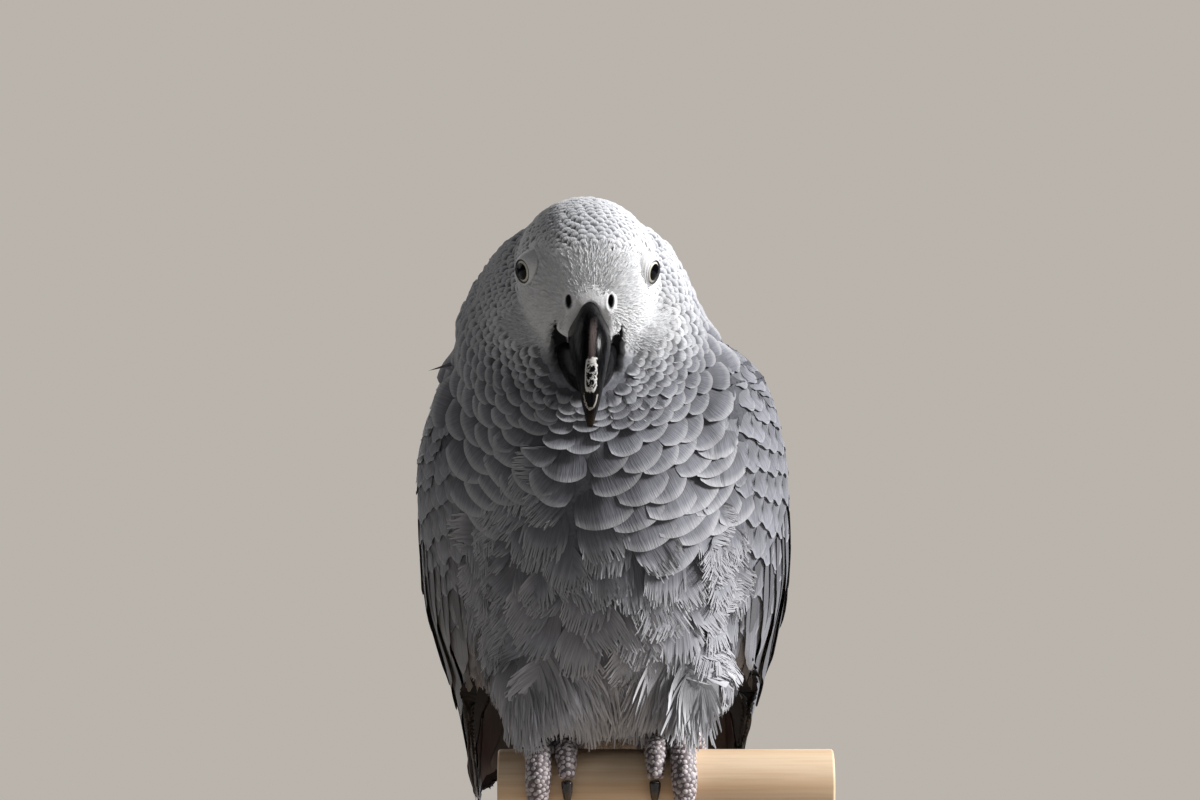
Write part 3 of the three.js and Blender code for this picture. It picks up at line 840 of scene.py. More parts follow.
def shadowed_gape(points):
    """How much a place belongs to the painted shadow in the hollow on either side of the bill, from 0 to 1;
    it is smaller on the bird's left, which lies in the light.
    """
    hs, hf, hu = head_local(points).T
    half = 0.05 + 2.6 * smooth(-4.5, -16.5, hu) * np.where(hs > 0, 0.7, 1.0)
    off = np.hypot((np.abs(hs) - 7.9 - 0.08 * (hu + 18)) / half, np.minimum(hu + 18.5, 0) / 6.5)
    return smooth(1.25, 0.7, off) * (hf > 6)


def sink_hollows(mesh, surface):
    """Lets the nostrils and the corners of the bill into the skin."""
    hs, hf, hu = head_local(surface.points).T
    pit = smooth(2.6, 1.2, off_nostril(hs, hu)) * (hf > 10) * 2.6 + 2.2 * shadowed_gape(surface.points)
    surface.points -= np.array(FORWARD) * pit[:, None] * MM
    mesh.vertices.foreach_set("co", surface.points.ravel())
    mesh.update()


def paint_skin():
    """The markings, with painted shade under the lower wings and a painted shadow, nearly black, in the
    corners of the bill.
    """
    colours = markings(skin.points)[0]
    # Painted shade: the skin low on the wings is darkened towards black, in the gap between wing and belly.
    under_wing_shade = smooth(54, 34, local(skin.points)[:, 2])
    wing = mix((QUILL + COVERT) / 2, QUILL * 0.45, under_wing_shade)
    colours = mix(colours, wing, even_out((~on_body).astype(float), skin.edges(), 2))
    # Lighter near the face, where the white skin shows, taking back part of the painted shade of the skin's
    # finish.
    colours = mix(colours, colours * 1.35, smooth(30, 24, head_distance(skin.points)))
    # The corners of the bill are painted nearly black as painted shadow.
    paint(skin_mesh, mix(colours, GAPE_SHADOW, shadowed_gape(skin.points)))


skin_mesh = joined_flesh()
skin = drawn_in(skin_mesh)
sink_hollows(skin_mesh, Surface(skin_mesh))
owner = nearest_node(skin.points)
on_wing = {word: owner == FLESH.index(f"wing_{word}") for word in SIDES}
on_body = ~(on_wing["left"] | on_wing["right"])
paint_skin()
skin_mesh.shade_smooth()
# The skin shows only in the gaps between feathers, so its finish darkens the markings to 0.55-0.8 as painted
# shade.
skin_gap_shade, skin_bump = (0.55, 0.8), (0.4, 0.0003)
skin_finish = painted("skin under the feathers", 0.8, 900, 4.0, skin_gap_shade, skin_bump, Specular_IOR_Level=0.2)
piece("skin", skin_mesh, skin_finish, FLESH, "plumage")

# ---- Body feathers -------------------------------------------------------------------------------

PUPIL, IRIS, LID = 29.5, 39.5, 38.0  # degrees from the eye's axis
EYE_FORWARD = math.radians(33)
EYE_REACH = 13 * MM  # how far from an eye's centre its bare skin may lie


def eye_axis(word):
    return (ACROSS * SIDES[word] * math.cos(EYE_FORWARD) + FORWARD * math.sin(EYE_FORWARD)).normalized()


def bare_edge(turn):
    """How far the bare skin reaches from the eye's axis, in degrees; it is widest above the eye."""
    return 55 + 42 * np.maximum(0, np.sin(turn)) ** 5


def round_eye(points, word):
    """Each point's turn round the eye's axis, with 90 degrees upwards, and its angle from the axis."""
    axis = np.array(eye_axis(word))
    up = unit(np.array(HEAD_UP) - axis * (np.array(HEAD_UP) @ axis))
    ahead = np.cross(up, axis)
    way = unit(np.asarray(points) - np.array(EYES[word]))
    return np.arctan2(way @ up, way @ ahead), np.degrees(np.arccos(np.clip(way @ axis, -1, 1)))


def near_eye(points, spare=0.0):
    found = np.zeros(len(points), bool)
    for word in EYES:
        turn, angle = round_eye(points, word)
        close = np.linalg.norm(points - np.array(EYES[word]), axis=1) < EYE_REACH
        found |= close & (angle < bare_edge(turn) - spare)
    return found


BILL_MIDDLE, BILL_HALF_TALL, BILL_HALF_WIDE = -9.75, 7.25, 6.6
LOWER_MIDDLE, LOWER_HALF_TALL, LOWER_HALF_WIDE = -19.0, 8.5, 9.9


def arch(rise):
    """The share of its full width that the bill's root has at a height from -1 to 1 on it."""
    return 1 - 0.48 * smooth(-0.5, 0.6, rise)


def off_bill(points):
    """Distance outside the roots of both bills in the head's front view, about in millimetres."""
    hs, hf, hu = head_local(points).T
    rise = (hu - BILL_MIDDLE) / BILL_HALF_TALL
    upper = (np.hypot(hs / (BILL_HALF_WIDE * arch(rise)), rise) - 1) * BILL_HALF_WIDE
    lower = (np.hypot(hs / LOWER_HALF_WIDE, (hu - LOWER_MIDDLE) / LOWER_HALF_TALL) - 1) * LOWER_HALF_WIDE
    return np.where(hf > 6, np.minimum(upper, lower), 99)


def wing_out(word):
    return np.array([0.86 * SIDES[word], 0.33, 0.38])


def lie_of_feathers():
    """The rows from the bill over body and inner wings, where they reach, and the way feathers point."""
    inner_wing = np.zeros(len(skin.points), bool)
    for word in SIDES:
        inner_wing |= on_wing[word] & (skin.normals @ wing_out(word) < -0.1)
    side, front, up = local(skin.points).T
    inner_wing &= (up > 18) & (front > -24)
    rows, reached = count_rows(skin, on_body | inner_wing)
    flow = slope_of(skin, rows)
    near, wide = even_out(flow, skin.edges(), 8), even_out(flow, skin.edges(), 60)
    return rows, reached, unit(mix(near, wide, smooth(26, 44, head_distance(skin.points))))


def clumps(points, scale, seed):
    """Numbers from -1 to 1 that stay alike over a few millimetres."""
    ways = np.random.default_rng(seed).normal(0, 1, (6, 3)) / (scale * MM)
    phases = np.random.default_rng(seed + 1).uniform(0, 6.28, 6)
    return np.sin(np.asarray(points) @ ways.T + phases).sum(1) / 3


def filled_in(roots, surface, allowed):
    """More roots wherever the rows leave a bare spot."""
    tree = KDTree(len(roots))
    for i, root in enumerate(roots.tolist()):
        tree.insert(root, i)
    tree.balance()
    chosen = np.flatnonzero(allowed)
    wide = feather_width(surface.points[chosen]) * 0.56
    crowd = Crowd(9 * MM)
    added = []
    for i in rng.permutation(len(chosen)).tolist():
        spot = surface.points[chosen[i]]
        if tree.find(spot)[2] >= wide[i] and crowd.takes(spot, wide[i]):
            added.append(spot)
    return np.concatenate([roots, added]) if added else roots


rows, reached, flow = lie_of_feathers()
# Each finish's base sets the painted shade at the feathers' roots.
crown = feather_finish("crown feathers", barbs=7, shaft=0.0, rim_from=0.66, base=(0.54, 0.84, 0.36))
contour = feather_finish("contour feathers", barbs=34, shaft=0.08, rim_from=0.76, base=(0.42, 0.82, 0.55))
loose = feather_finish("loose belly feathers", barbs=30, shaft=0.0, rim_from=0.6)


def body_coats():
    """Crown, neck, body and belly, each from the same rows of roots."""
    roots = staggered_roots(skin, rows, reached)
    roots, faces = skin.nearest(filled_in(roots, skin, reached))
    hs, hf, hu = head_local(roots).T
    far = head_distance(roots)
    hairy = (hf > 4.5) & (hu < 8.2 - 0.22 * np.abs(hs)) & (far < 27) & (hu > -19)
    kept = ~near_eye(roots) & ~hairy & (off_bill(roots) > 1)
    roots, faces, far = roots[kept], faces[kept], far[kept]
    hang = 0.9 * smooth(34, 66, far) + 1.6 * smooth(80, 105, far)
    runs = skin.blend(flow, roots, faces) + np.array([0, 0.3, -1.0]) * hang[:, None]
    normals = skin.normals_at(roots, faces)
    width = feather_width(roots) * rng.uniform(0.92, 1.08, len(roots))
    shown, depth = row_height(roots), coat_depth(roots)
    colour, rim = markings(roots)
    colour = colour * rng.uniform(0.92, 1.08, (len(roots), 1))
    side, front, up = local(roots).T
    belly = smooth(86, 64, up + 8 * clumps(roots, 9, 5)) * smooth(-60, -44, front) >= 0.5
    parted = np.exp(-(((side + 6) / 9) ** 2 + ((up - 77) / 13) ** 2)) * smooth(20, 40, front)
    kinds = [
        # name, which roots, vane, finish, bend, length, camber, stray, ruffle, round tip
        ("crown", far < 36, Vane(6, 4, WHOLE), crown, 0.05, 2.2, 0.13, 0.0, 0.0, 0.8),
        ("neck", (far >= 36) & (far < 58), Vane(12, 4, WHOLE), contour, 0.06, 2.1, 0.05, 0.0, 0.0, 0.55),
        ("body", (far >= 58) & ~belly, Vane(28, 4, 0.84, 0.2), contour, 0.08, 2.2, 0.035, 0.07, 0.06, 0.42),
    ]
    ruffled = (Vane(32, 4, 0.55, 0.15), loose, 0.3, 2.8, 0.04, 0.42, 0.4, 0.6)
    kinds.append(("belly", belly & (side < 0), *ruffled, "_right"))
    kinds.append(("belly", belly & (side >= 0), *ruffled, "_left"))
    for part, chosen, vane, finish, bend, long, camber, stray, ruffle, tip, *word in kinds:
        k = np.flatnonzero(chosen)
        coat = Coat(vane, skin)
        swerve = rng.normal(0, bend, len(k)) + parted[k] * 0.9 * clumps(roots[k], 3, 11)
        if part == "belly":
            swerve += 0.6 * clumps(roots[k], 5, 21)
        coat.lay(
            roots[k],
            turned_about(runs[k], normals[k], swerve),
            width[k] * (0.9 if part == "belly" else 1.12),
            shown[k] * long * rng.uniform(0.92, 1.08, len(k)),
            depth[k] * rng.uniform(0.85, 1.1, len(k)) * 0.95,
            colour[k],
            rim[k],
            camber=camber,
            round_tip=tip,
            stray=stray * MM,
            ruffle=ruffle * MM,
        )
        coat.build("".join([f"{part}_feathers", *word]), finish, slot="plumage")


FOOT_SIDES = (19, -15)  # where the feet's middles are, seen from the front
FLUFF = 340
TOE_GAP = 7


def vent_fluff():
    """Loose ends hanging from the belly to the perch, between and beside the feet."""
    coat = Coat(Vane(14, 4, 0.3, 0.5), skin)
    side = rng.uniform(-26, 27, FLUFF)
    front = rng.uniform(4, 33, FLUFF)
    start = np.array([at(x, y, 11 + 0.3 * y + 4 * abs(x) / 30) for x, y in zip(side, front)])
    spots, faces = skin.nearest(start)
    x, y, z = local(spots).T
    clear = np.minimum(*(np.abs(x - foot_side) for foot_side in FOOT_SIDES)) > TOE_GAP
    reach = np.where(clear, z + 0.6, z - 3.8) / 0.93
    apart, ahead = rng.normal(0, 0.16, FLUFF) - 0.004 * x, rng.normal(-0.05, 0.12, FLUFF)
    runs = np.stack([apart, ahead, -np.ones(FLUFF)], 1)
    normals = skin.normals_at(spots, faces)
    level = unit(runs - normals * (runs * normals).sum(1, keepdims=True))[:, 2]
    good = (reach > 3) & (y > -4) & (level < -0.76)
    spots, runs, reach, count = spots[good], runs[good], reach[good], int(good.sum())
    colour, rim = markings(spots)
    pale = mix(colour, np.array([0.52, 0.515, 0.54]), np.full(count, 0.45))
    coat.lay(
        spots + np.array([0, -1.0, 1.0]) * MM,
        runs,
        rng.uniform(7, 11, count) * MM,
        reach * MM * rng.uniform(0.88, 1.0, count),
        rng.uniform(0.4, 1.6, count) * MM,
        pale * rng.uniform(0.85, 1.1, (count, 1)),
        rim,
        stray=0.9 * MM,
        ruffle=0.9 * MM,
        drape=False,
    )
    coat.build("vent_fluff", loose, slot="plumage")


body_coats()
vent_fluff()

# ---- Fine white feathers of the face -------------------------------------------------------------


def scattered(surface, chosen, gap):
    """Places spread over the chosen triangles, about `gap` apart."""
    area = np.linalg.norm(surface.face_normals, axis=1) / 2 * chosen
    count = int(area.sum() / gap**2)
    spots = (np.arange(count) + rng.uniform(0, 1, count)) / count
    tri = np.searchsorted(np.cumsum(area) / area.sum(), spots)
    tri = np.clip(tri, 0, len(area) - 1)
    u, w = rng.uniform(0, 1, (2, count))
    u, w = np.where(u + w > 1, 1 - u, u), np.where(u + w > 1, 1 - w, w)
    a, b, c = (surface.points[surface.triangles[tri, k]] for k in range(3))
    return a + (b - a) * u[:, None] + (c - a) * w[:, None], tri


def face_coat():
    """Some thousands of hairs round the bill and the eyes, finest at the bill."""
    centres = skin.points[skin.triangles].mean(1)
    hs, hf, hu = head_local(centres).T
    face = (hf > 1) & (hu < 11 - 0.22 * np.abs(hs)) & (hu > -21) & (head_distance(centres) < 29)
    face &= on_body[skin.triangles].all(1)
    roots, faces = scattered(skin, face, 0.52 * MM)
    hs, hf, hu = head_local(roots).T
    kept = ~near_eye(roots, 4) & (off_bill(roots) > 0.9) & (shadowed_gape(roots) < rng.uniform(0.2, 0.9, len(roots)))
    lie = skin.blend(flow, roots, faces) * MM
    for reach in (0, 0.8, 1.6, 2.6, 3.4):
        passed = head_local(roots + lie * reach)
        kept &= (off_nostril(passed[:, 0], passed[:, 2]) > 1.25) | (hf < 8)
    thick = smooth(1, 5.5, hf) * smooth(11.5, 7.5, hu + 0.22 * np.abs(hs)) * smooth(-21, -16, hu)
    kept &= rng.uniform(0, 1, len(roots)) < thick
    roots, faces = roots[kept], faces[kept]
    runs = skin.blend(flow, roots, faces)
    runs = turned_about(runs, skin.normals_at(roots, faces), rng.normal(0, 0.16, len(roots)))
    colour, rim = markings(roots)
    # Hairs in the corners of the bill are darkened as painted shadow.
    colour = mix(colour, np.array([0.05, 0.047, 0.05]), 0.85 * shadowed_gape(roots))
    off = np.clip(off_bill(roots), 0, 14)
    hair = Coat(Vane(4, 3, 0.2, 0.75), skin)
    hair.lay(
        roots,
        runs,
        np.interp(off, [2, 8, 14], [0.6, 0.8, 1.0]) * MM,
        np.interp(off, [2, 6, 14], [1.8, 2.7, 3.3]) * MM * rng.uniform(0.8, 1.2, len(roots)),
        np.interp(off, [2, 8, 14], [0.42, 0.5, 0.62]) * MM * rng.uniform(0.7, 1.3, len(roots)),
        colour * rng.uniform(0.94, 1.05, (len(roots), 1)),
        rim * 0.5,
        stray=0.12 * MM,
        ruffle=0.10 * MM,
        waist=0.9,
        round_tip=0.4,
    )
    # Its base sets the painted shade at the hairs' roots.
    fine = feather_finish("fine face feathers", barbs=3, shaft=0.0, roughness=0.8, base=(0.05, 0.45, 0.86))
    hair.build("face_feathers", fine, slot="plumage")


face_coat()

# ---- Wings ---------------------------------------------------------------------------------------

WING_RUN = (0, 0.762, -0.647)
PRIMARIES, SECONDARIES, GREATER_COVERTS, UNDER_QUILLS = 10, 11, 13, 6
wing_finish = feather_finish("wing coverts", barbs=24, shaft=0.2, roughness=0.62)
quill_finish = feather_finish("wing quills", barbs=34, shaft=0.35, roughness=0.55)


def wing_shades(v, tone):
    """Grey at the wrist, darker towards the wing tip."""
    upper = mix(COVERT, COVERT * 0.7, smooth(0.3, 0.55, v))
    return mix(upper, QUILL, smooth(0.55, 0.9, v)) * tone


def covert_rows(chart):
    """Rows of small feathers from the wrist down to the long quills."""
    tracks, sizes = [], []
    v, row = -0.01, 0
    while v < 0.345:
        shown = np.interp(v * chart.length, [0, 0.02, 0.05, 0.08], [3.6 * MM, 4.8 * MM, 6.4 * MM, 8.5 * MM])
        wide = shown * 1.4
        count = max(3, round(float(chart.wide(v)) / wide))
        for i in range(count + 1):
            t = (i + 0.5 * (row % 2)) / count + rng.normal(0, 0.08) / count
            start = v + 0.035 * (0.5 - t)
            end = start + shown * rng.uniform(2.2, 2.5) / chart.length
            tracks.append((start, t, end, t + rng.normal(0, 0.006)))
            sizes.append(wide * 1.2)
        v += shown / chart.length
        row += 1
    return np.array(tracks), np.array(sizes)


def wing_coat(word):
    """Primaries, secondaries and greater coverts, the quills seen from below, and the small coverts."""
    out, rise = wing_out(word), (-0.5 * SIDES[word], 0.556, 0.655)
    chart = Map(skin, on_wing[word], WING_RUN, out, rise)
    quills = Coat(Vane(6, 18, WHOLE), skin)
    t = np.linspace(0.02, 0.86, PRIMARIES)
    shade = QUILL * 1.7 * rng.uniform(0.85, 1.15, (PRIMARIES, 1))
    tracks = (0.42, t * 0.8 + 0.04, np.linspace(0.995, 0.90, PRIMARIES), t)
    lift = (0.5 + 0.1 * np.arange(PRIMARIES)) * MM
    quills.lay_along(chart, tracks, 15 * MM, shade, 0.10, lift, 0.10)
    t = np.linspace(0.0, 0.97, SECONDARIES)
    tips = 0.74 - 0.13 * smooth(0.2, 1.0, t) + rng.normal(0, 0.006, SECONDARIES)
    shade = mix(COVERT * 0.62, COVERT * 0.95, t) * rng.uniform(0.9, 1.1, (SECONDARIES, 1))
    lift = (1.1 + 0.06 * np.arange(SECONDARIES)) * MM
    quills.lay_along(chart, (0.30, t, tips, t + 0.01), 15.5 * MM, shade, 0.12, lift, 0.11, sharp=0.8)
    t = np.linspace(-0.02, 1.0, GREATER_COVERTS)
    tips = 0.50 - 0.03 * t + rng.normal(0, 0.005, GREATER_COVERTS)
    shade = COVERT * 0.88 * rng.uniform(0.9, 1.1, (GREATER_COVERTS, 1))
    quills.lay_along(chart, (tips - 0.19, t, tips, t + 0.01), 12.5 * MM, shade, 0.15, 1.4 * MM, 0.10)
    end = (skin.points[on_wing[word]] @ np.array(WING_RUN)).max()
    under = Map(skin, on_wing[word], WING_RUN, -out, rise, reach=(end - 62 * MM, end - 1 * MM), wrap=0)
    t = np.linspace(0.05, 0.95, UNDER_QUILLS)
    tracks = (-0.02, t, np.linspace(0.995, 0.8, UNDER_QUILLS), t)
    quills.lay_along(under, tracks, 9 * MM, QUILL * 0.9, 0.1, 0.3 * MM, 0.08, waist=0.8, sharp=0.8)
    quills.build(f"wing_quills_{word}", quill_finish, slot="flight_feathers")
    coverts = Coat(Vane(6, 5, WHOLE), skin)
    tracks, sizes = covert_rows(chart)
    shade = wing_shades(tracks[:, 2], rng.uniform(0.9, 1.12, (len(tracks), 1)))
    coverts.lay_along(chart, tracks.T, sizes, shade, 0.16, 1.2 * MM, 0.03, waist=0.6, sharp=1.0)
    coverts.build(f"wing_coverts_{word}", wing_finish, slot="plumage")


for word in SIDES:
    wing_coat(word)

# ---- Tail ----------------------------------------------------------------------------------------

TAIL_RUN, TAIL_OUT = (0, 0.886, -0.463), (0, 0.463, 0.886)
TAIL_QUILLS = 12
TAIL_LENGTH = 84 * MM


def tail_coat():
    surface = Surface(mesh_of(clean_copy("tail"), "tail form"))
    end = (surface.points @ np.array(TAIL_RUN)).max()
    everywhere = np.ones(len(surface.points), bool)
    reach = (end - TAIL_LENGTH, end - 0.3 * MM)
    chart = Map(surface, everywhere, TAIL_RUN, TAIL_OUT, (1, 0, 0), slices=30, across=20, wrap=0, reach=reach)
    coat = Coat(Vane(6, 14, WHOLE), surface)
    k = np.arange(TAIL_QUILLS)
    middle = (TAIL_QUILLS - 1) / 2
    outer = np.abs(k - middle) / middle
    t = 0.5 + (k - middle) / TAIL_QUILLS * 0.93
    tracks = np.stack(np.broadcast_arrays(-0.05, 0.5 + (t - 0.5) * 0.75, 1.0 - 0.05 * outer**3, t), 1)
    order = np.argsort(-outer)
    shade = SCARLET * rng.uniform(0.85, 1.1, (TAIL_QUILLS, 1))
    tilt = np.where(k < middle, 0.05, -0.05)
    lift = (-1.3 + 1.5 * (1 - outer)) * MM
    coat.lay_along(chart, tracks[order].T, 12.5 * MM, shade[order], 0.12, lift[order], tilt[order])
    finish = feather_finish("scarlet tail feathers", barbs=30, shaft=0.45, roughness=0.6)
    coat.build("tail_feathers", finish, replaced=("tail",), slot="tail_feathers")


tail_coat()

# ---- Bill, cere and eyes -------------------------------------------------------------------------


def loft(ring, around, along, caps=True):
    """A closed form whose rings come from ring(u, v)."""
    bm = bmesh.new()
    bmesh.ops.create_grid(bm, x_segments=around, y_segments=along, size=1)
    for v in bm.verts:
        v.co = ring((v.co.x + 1) / 2, (v.co.y + 1) / 2)
    bmesh.ops.remove_doubles(bm, verts=bm.verts, dist=2e-6)
    if caps:
        bmesh.ops.holes_fill(bm, edges=[e for e in bm.edges if e.is_boundary], sides=0)
        bmesh.ops.recalc_face_normals(bm, faces=bm.faces)
    return bm


def bezier(points):
    p = np.array(points, float)

    def place(v):
        rest = 1 - v
        return rest**3 * p[0] + 3 * rest**2 * v * p[1] + 3 * rest * v**2 * p[2] + v**3 * p[3]

    return place


def horn_ring(ridge, edge, wide, keel):
    ridge_at, edge_at = bezier(ridge), bezier(edge)
    places = np.linspace(0, 1, len(wide))

    def ring(u, v):
        top, low = ridge_at(v), edge_at(v)
        middle, reach = (top + low) / 2, (top - low) / 2
        turn = 2 * math.pi * u
        s, c = math.sin(turn), math.cos(turn)
        narrow = max(0.1, keel * (1 - 2.6 * v)) if keel else 0
        half = np.interp(v, places, wide) * (1 - narrow * float(smooth(-0.5, 0.6, s)))
        return on_head(half * c, *(middle + reach * s))

    return ring


UPPER = horn_ring(
    [(18, -2.5), (37, -3), (45, -18), (36.6, -33.6)],
    [(11, -17), (20, -19), (31, -17), (35.6, -33.2)],
    [6.5, 6.45, 6.25, 5.65, 4.75, 3.7, 2.5, 0.9],
    0.48,
)
LOWER = horn_ring(
    [(8, -12), (16, -13), (24, -16), (29.5, -20.5)],
    [(8, -27), (16, -31), (24, -31), (29.5, -24)],
    [8.9, 8.6, 7.4, 5.6, 3.2],
    0,
)


def on_head_axes(f):
    axes = Matrix([ACROSS, FORWARD, HEAD_UP])
    return f.place((1000, 1000, 1000), tuple(axes.to_euler("XYZ")), tuple(-(axes @ HEAD) * 1000))


def bill_finish():
    """Black horn with a brown ridge streak that is partly a painted highlight, and below it a flaked patch, a
    pale growth line and a brown tip.
    """
    f = Finish("black horn", 0.3, IOR=1.17)
    place = on_head_axes(f)
    parts = f.add("ShaderNodeSeparateXYZ", {"Vector": place}).outputs
    fine = f.noise(place, 2.4, 3.0, 0.6)
    along = f.noise(f.stretched(place, (3.2, 0.5, 0.25)), 1.0, 3.0)
    wobble = f.times(f.minus(f.noise(place, 1.3, 3.0), 0.5), 2.2)
    middle = f.absolute(f.plus(parts["X"], f.times(wobble, 0.3)))
    up = f.plus(parts["Z"], wobble)
    base = f.mix(f.range(along, 0.35, 0.7), (0.0025, 0.0025, 0.003, 1), (0.008, 0.0078, 0.009, 1))
    # The ridge streak: partly the horn's own brown, partly a painted highlight along the top of the bill.
    ridge = f.times(f.range(middle, 1.25, 0.5), f.range(up, -14.5, -12.5))
    ridge = f.times(ridge, f.range(up, -4.0, -7.0))
    ridge = f.times(ridge, f.range(along, 0.3, 0.6, 0.6, 1.0))
    base = f.mix(f.times(ridge, 0.75), base, (0.15, 0.12, 0.115, 1))
    across = f.times(f.plus(middle, f.times(wobble, 0.35)), 0.60)
    tall = f.times(f.plus(up, 17.2), 0.215)
    oval = f.plus(f.math("POWER", across, 4.0), f.math("POWER", f.absolute(tall), 4.0))
    outside = f.times(f.minus(f.math("POWER", oval, 0.25), 1.0), 1.6)
    patch = f.range(outside, 0.08, -0.08)
    rim = f.range(outside, -0.42, -0.2)
    warp = f.times(f.minus(fine, 0.5), 3.0)
    shift = f.add("ShaderNodeCombineXYZ", {0: warp, 1: 0.0, 2: wobble}).outputs[0]
    crackled = f.add("ShaderNodeVectorMath", {0: place, 1: shift}).outputs["Vector"]
    cells = f.add("ShaderNodeTexVoronoi", {"Vector": crackled, "Scale": 0.55}, feature="DISTANCE_TO_EDGE")
    flaked = f.times(patch, f.math("MAXIMUM", rim, f.range(cells.outputs["Distance"], 0.10, 0.045)))
    low = f.times(f.plus(up, 22.6), 0.22)
    wide = f.times(middle, 0.55)
    ring = f.math("SQRT", f.plus(f.times(low, low), f.times(wide, wide)))
    line = f.range(f.absolute(f.minus(ring, 1.0)), 0.14, 0.05)
    line = f.times(line, f.range(up, -22.4, -23.4))
    base = f.mix(f.range(up, -27.5, -31.0), base, (0.022, 0.015, 0.012, 1))
    base = f.mix(f.times(line, 0.75), base, (0.52, 0.47, 0.43, 1))
    f.colour(f.mix(flaked, base, (0.74, 0.72, 0.70, 1)))
    worn = f.math("MAXIMUM", flaked, f.times(line, 0.6))
    f.rough(f.math("ADD", f.range(fine, 0.3, 0.7, 0.15, 0.28), f.times(worn, 0.35), clamp=True))
    f.bump(f.plus(along, f.times(worn, 0.8)), 0.3, 0.0003)
    return f.material


horn = bill_finish()
piece("bill_upper_horn", mesh_of(loft(UPPER, 48, 56), "upper bill"), horn, ("bill_upper",), "horn")
piece("bill_lower_horn", mesh_of(loft(LOWER, 40, 24), "lower bill"), horn, ("bill_lower",), "horn")

BARE = np.array([0.82, 0.815, 0.83])
DARK_AND_SHADE = np.array([0.02, 0.02, 0.024])
bare_finish = painted("bare white skin", 0.6, Specular_IOR_Level=0.3)


def cere():
    """Bare skin over the root of the bill, with the nostrils sunk in it."""

    def ring(u, v):
        turn = math.radians(-38 + 256 * u)
        lower = float(smooth(-0.62, -0.1, math.sin(turn)))
        reach = -1.0 + v * (1.1 + 3.3 * lower + 3.4 * float(smooth(0.0, 0.55, math.sin(turn))))
        side = (BILL_HALF_WIDE * float(arch(math.sin(turn))) + reach) * math.cos(turn)
        up = BILL_MIDDLE + (BILL_HALF_TALL + reach) * math.sin(turn)
        start = on_head(side, 34, up)
        hit = skin.tree.ray_cast(start, -FORWARD)[0]
        if hit is None:
            hit = skin.tree.find_nearest(on_head(side, 12, up))[0]
        nose = float(off_nostril(side, up))
        height = 0.5 * float(smooth(0, 0.2, v) * smooth(0.98, 0.5, v)) - 0.12
        height += 0.16 * math.exp(-((nose - 1.5) / 0.4) ** 2) - 1.9 * float(smooth(1.15, 0.55, nose))
        return hit + FORWARD * height * MM

    mesh = mesh_of(loft(ring, 132, 26, caps=False), "cere")
    hs, _, hu = head_local(np.array([v.co for v in mesh.vertices])).T
    # The nostrils are painted nearly black as painted shade inside them; the rest is bare white skin.
    paint(mesh, mix(DARK_AND_SHADE * 0.3, BARE, smooth(0.9, 1.25, off_nostril(hs, hu))))
    piece("cere", mesh, bare_finish, slot="plumage")


cere()


def eye_finish():
    f = Finish("eye", 0.15, Coat_Weight=0.1, Coat_Roughness=0.03, Specular_IOR_Level=0.1)
    angle = f.add("ShaderNodeAttribute", attribute_name="from axis").outputs["Fac"]
    grain = f.noise(f.place(), 1500, 3.0)
    outer = f.range(angle, 27, 38)
    iris = f.mix(outer, (0.63, 0.60, 0.50, 1), (0.80, 0.78, 0.68, 1))
    iris = f.mix(f.range(grain, 0.35, 0.65, 0.0, 0.25), iris, (0.42, 0.38, 0.30, 1))
    iris = f.mix(f.range(angle, IRIS - 1.5, IRIS + 0.5), iris, (0.02, 0.02, 0.02, 1))
    f.colour(f.mix(f.range(angle, PUPIL + 0.7, PUPIL - 0.7), iris, (0.002, 0.002, 0.003, 1)))
    return f.material


eye_material = eye_finish()


def eyeball(word):
    bm = bmesh.new()
    turn = eye_axis(word).to_track_quat("Z", "Y").to_matrix().to_4x4()
    place = Matrix.Translation(EYES[word]) @ turn
    bmesh.ops.create_uvsphere(bm, u_segments=48, v_segments=48, radius=EYE_RADIUS, matrix=place)
    mesh = mesh_of(bm, "eye")
    spots = np.array([v.co for v in mesh.vertices])
    layer = mesh.attributes.new("from axis", "FLOAT", "POINT")
    layer.data.foreach_set("value", round_eye(spots, word)[1].astype(np.float32))
    piece(f"eyeball_{word}", mesh, eye_material, (f"eye_{word}",), "eyes")


LID_STEPS = 72


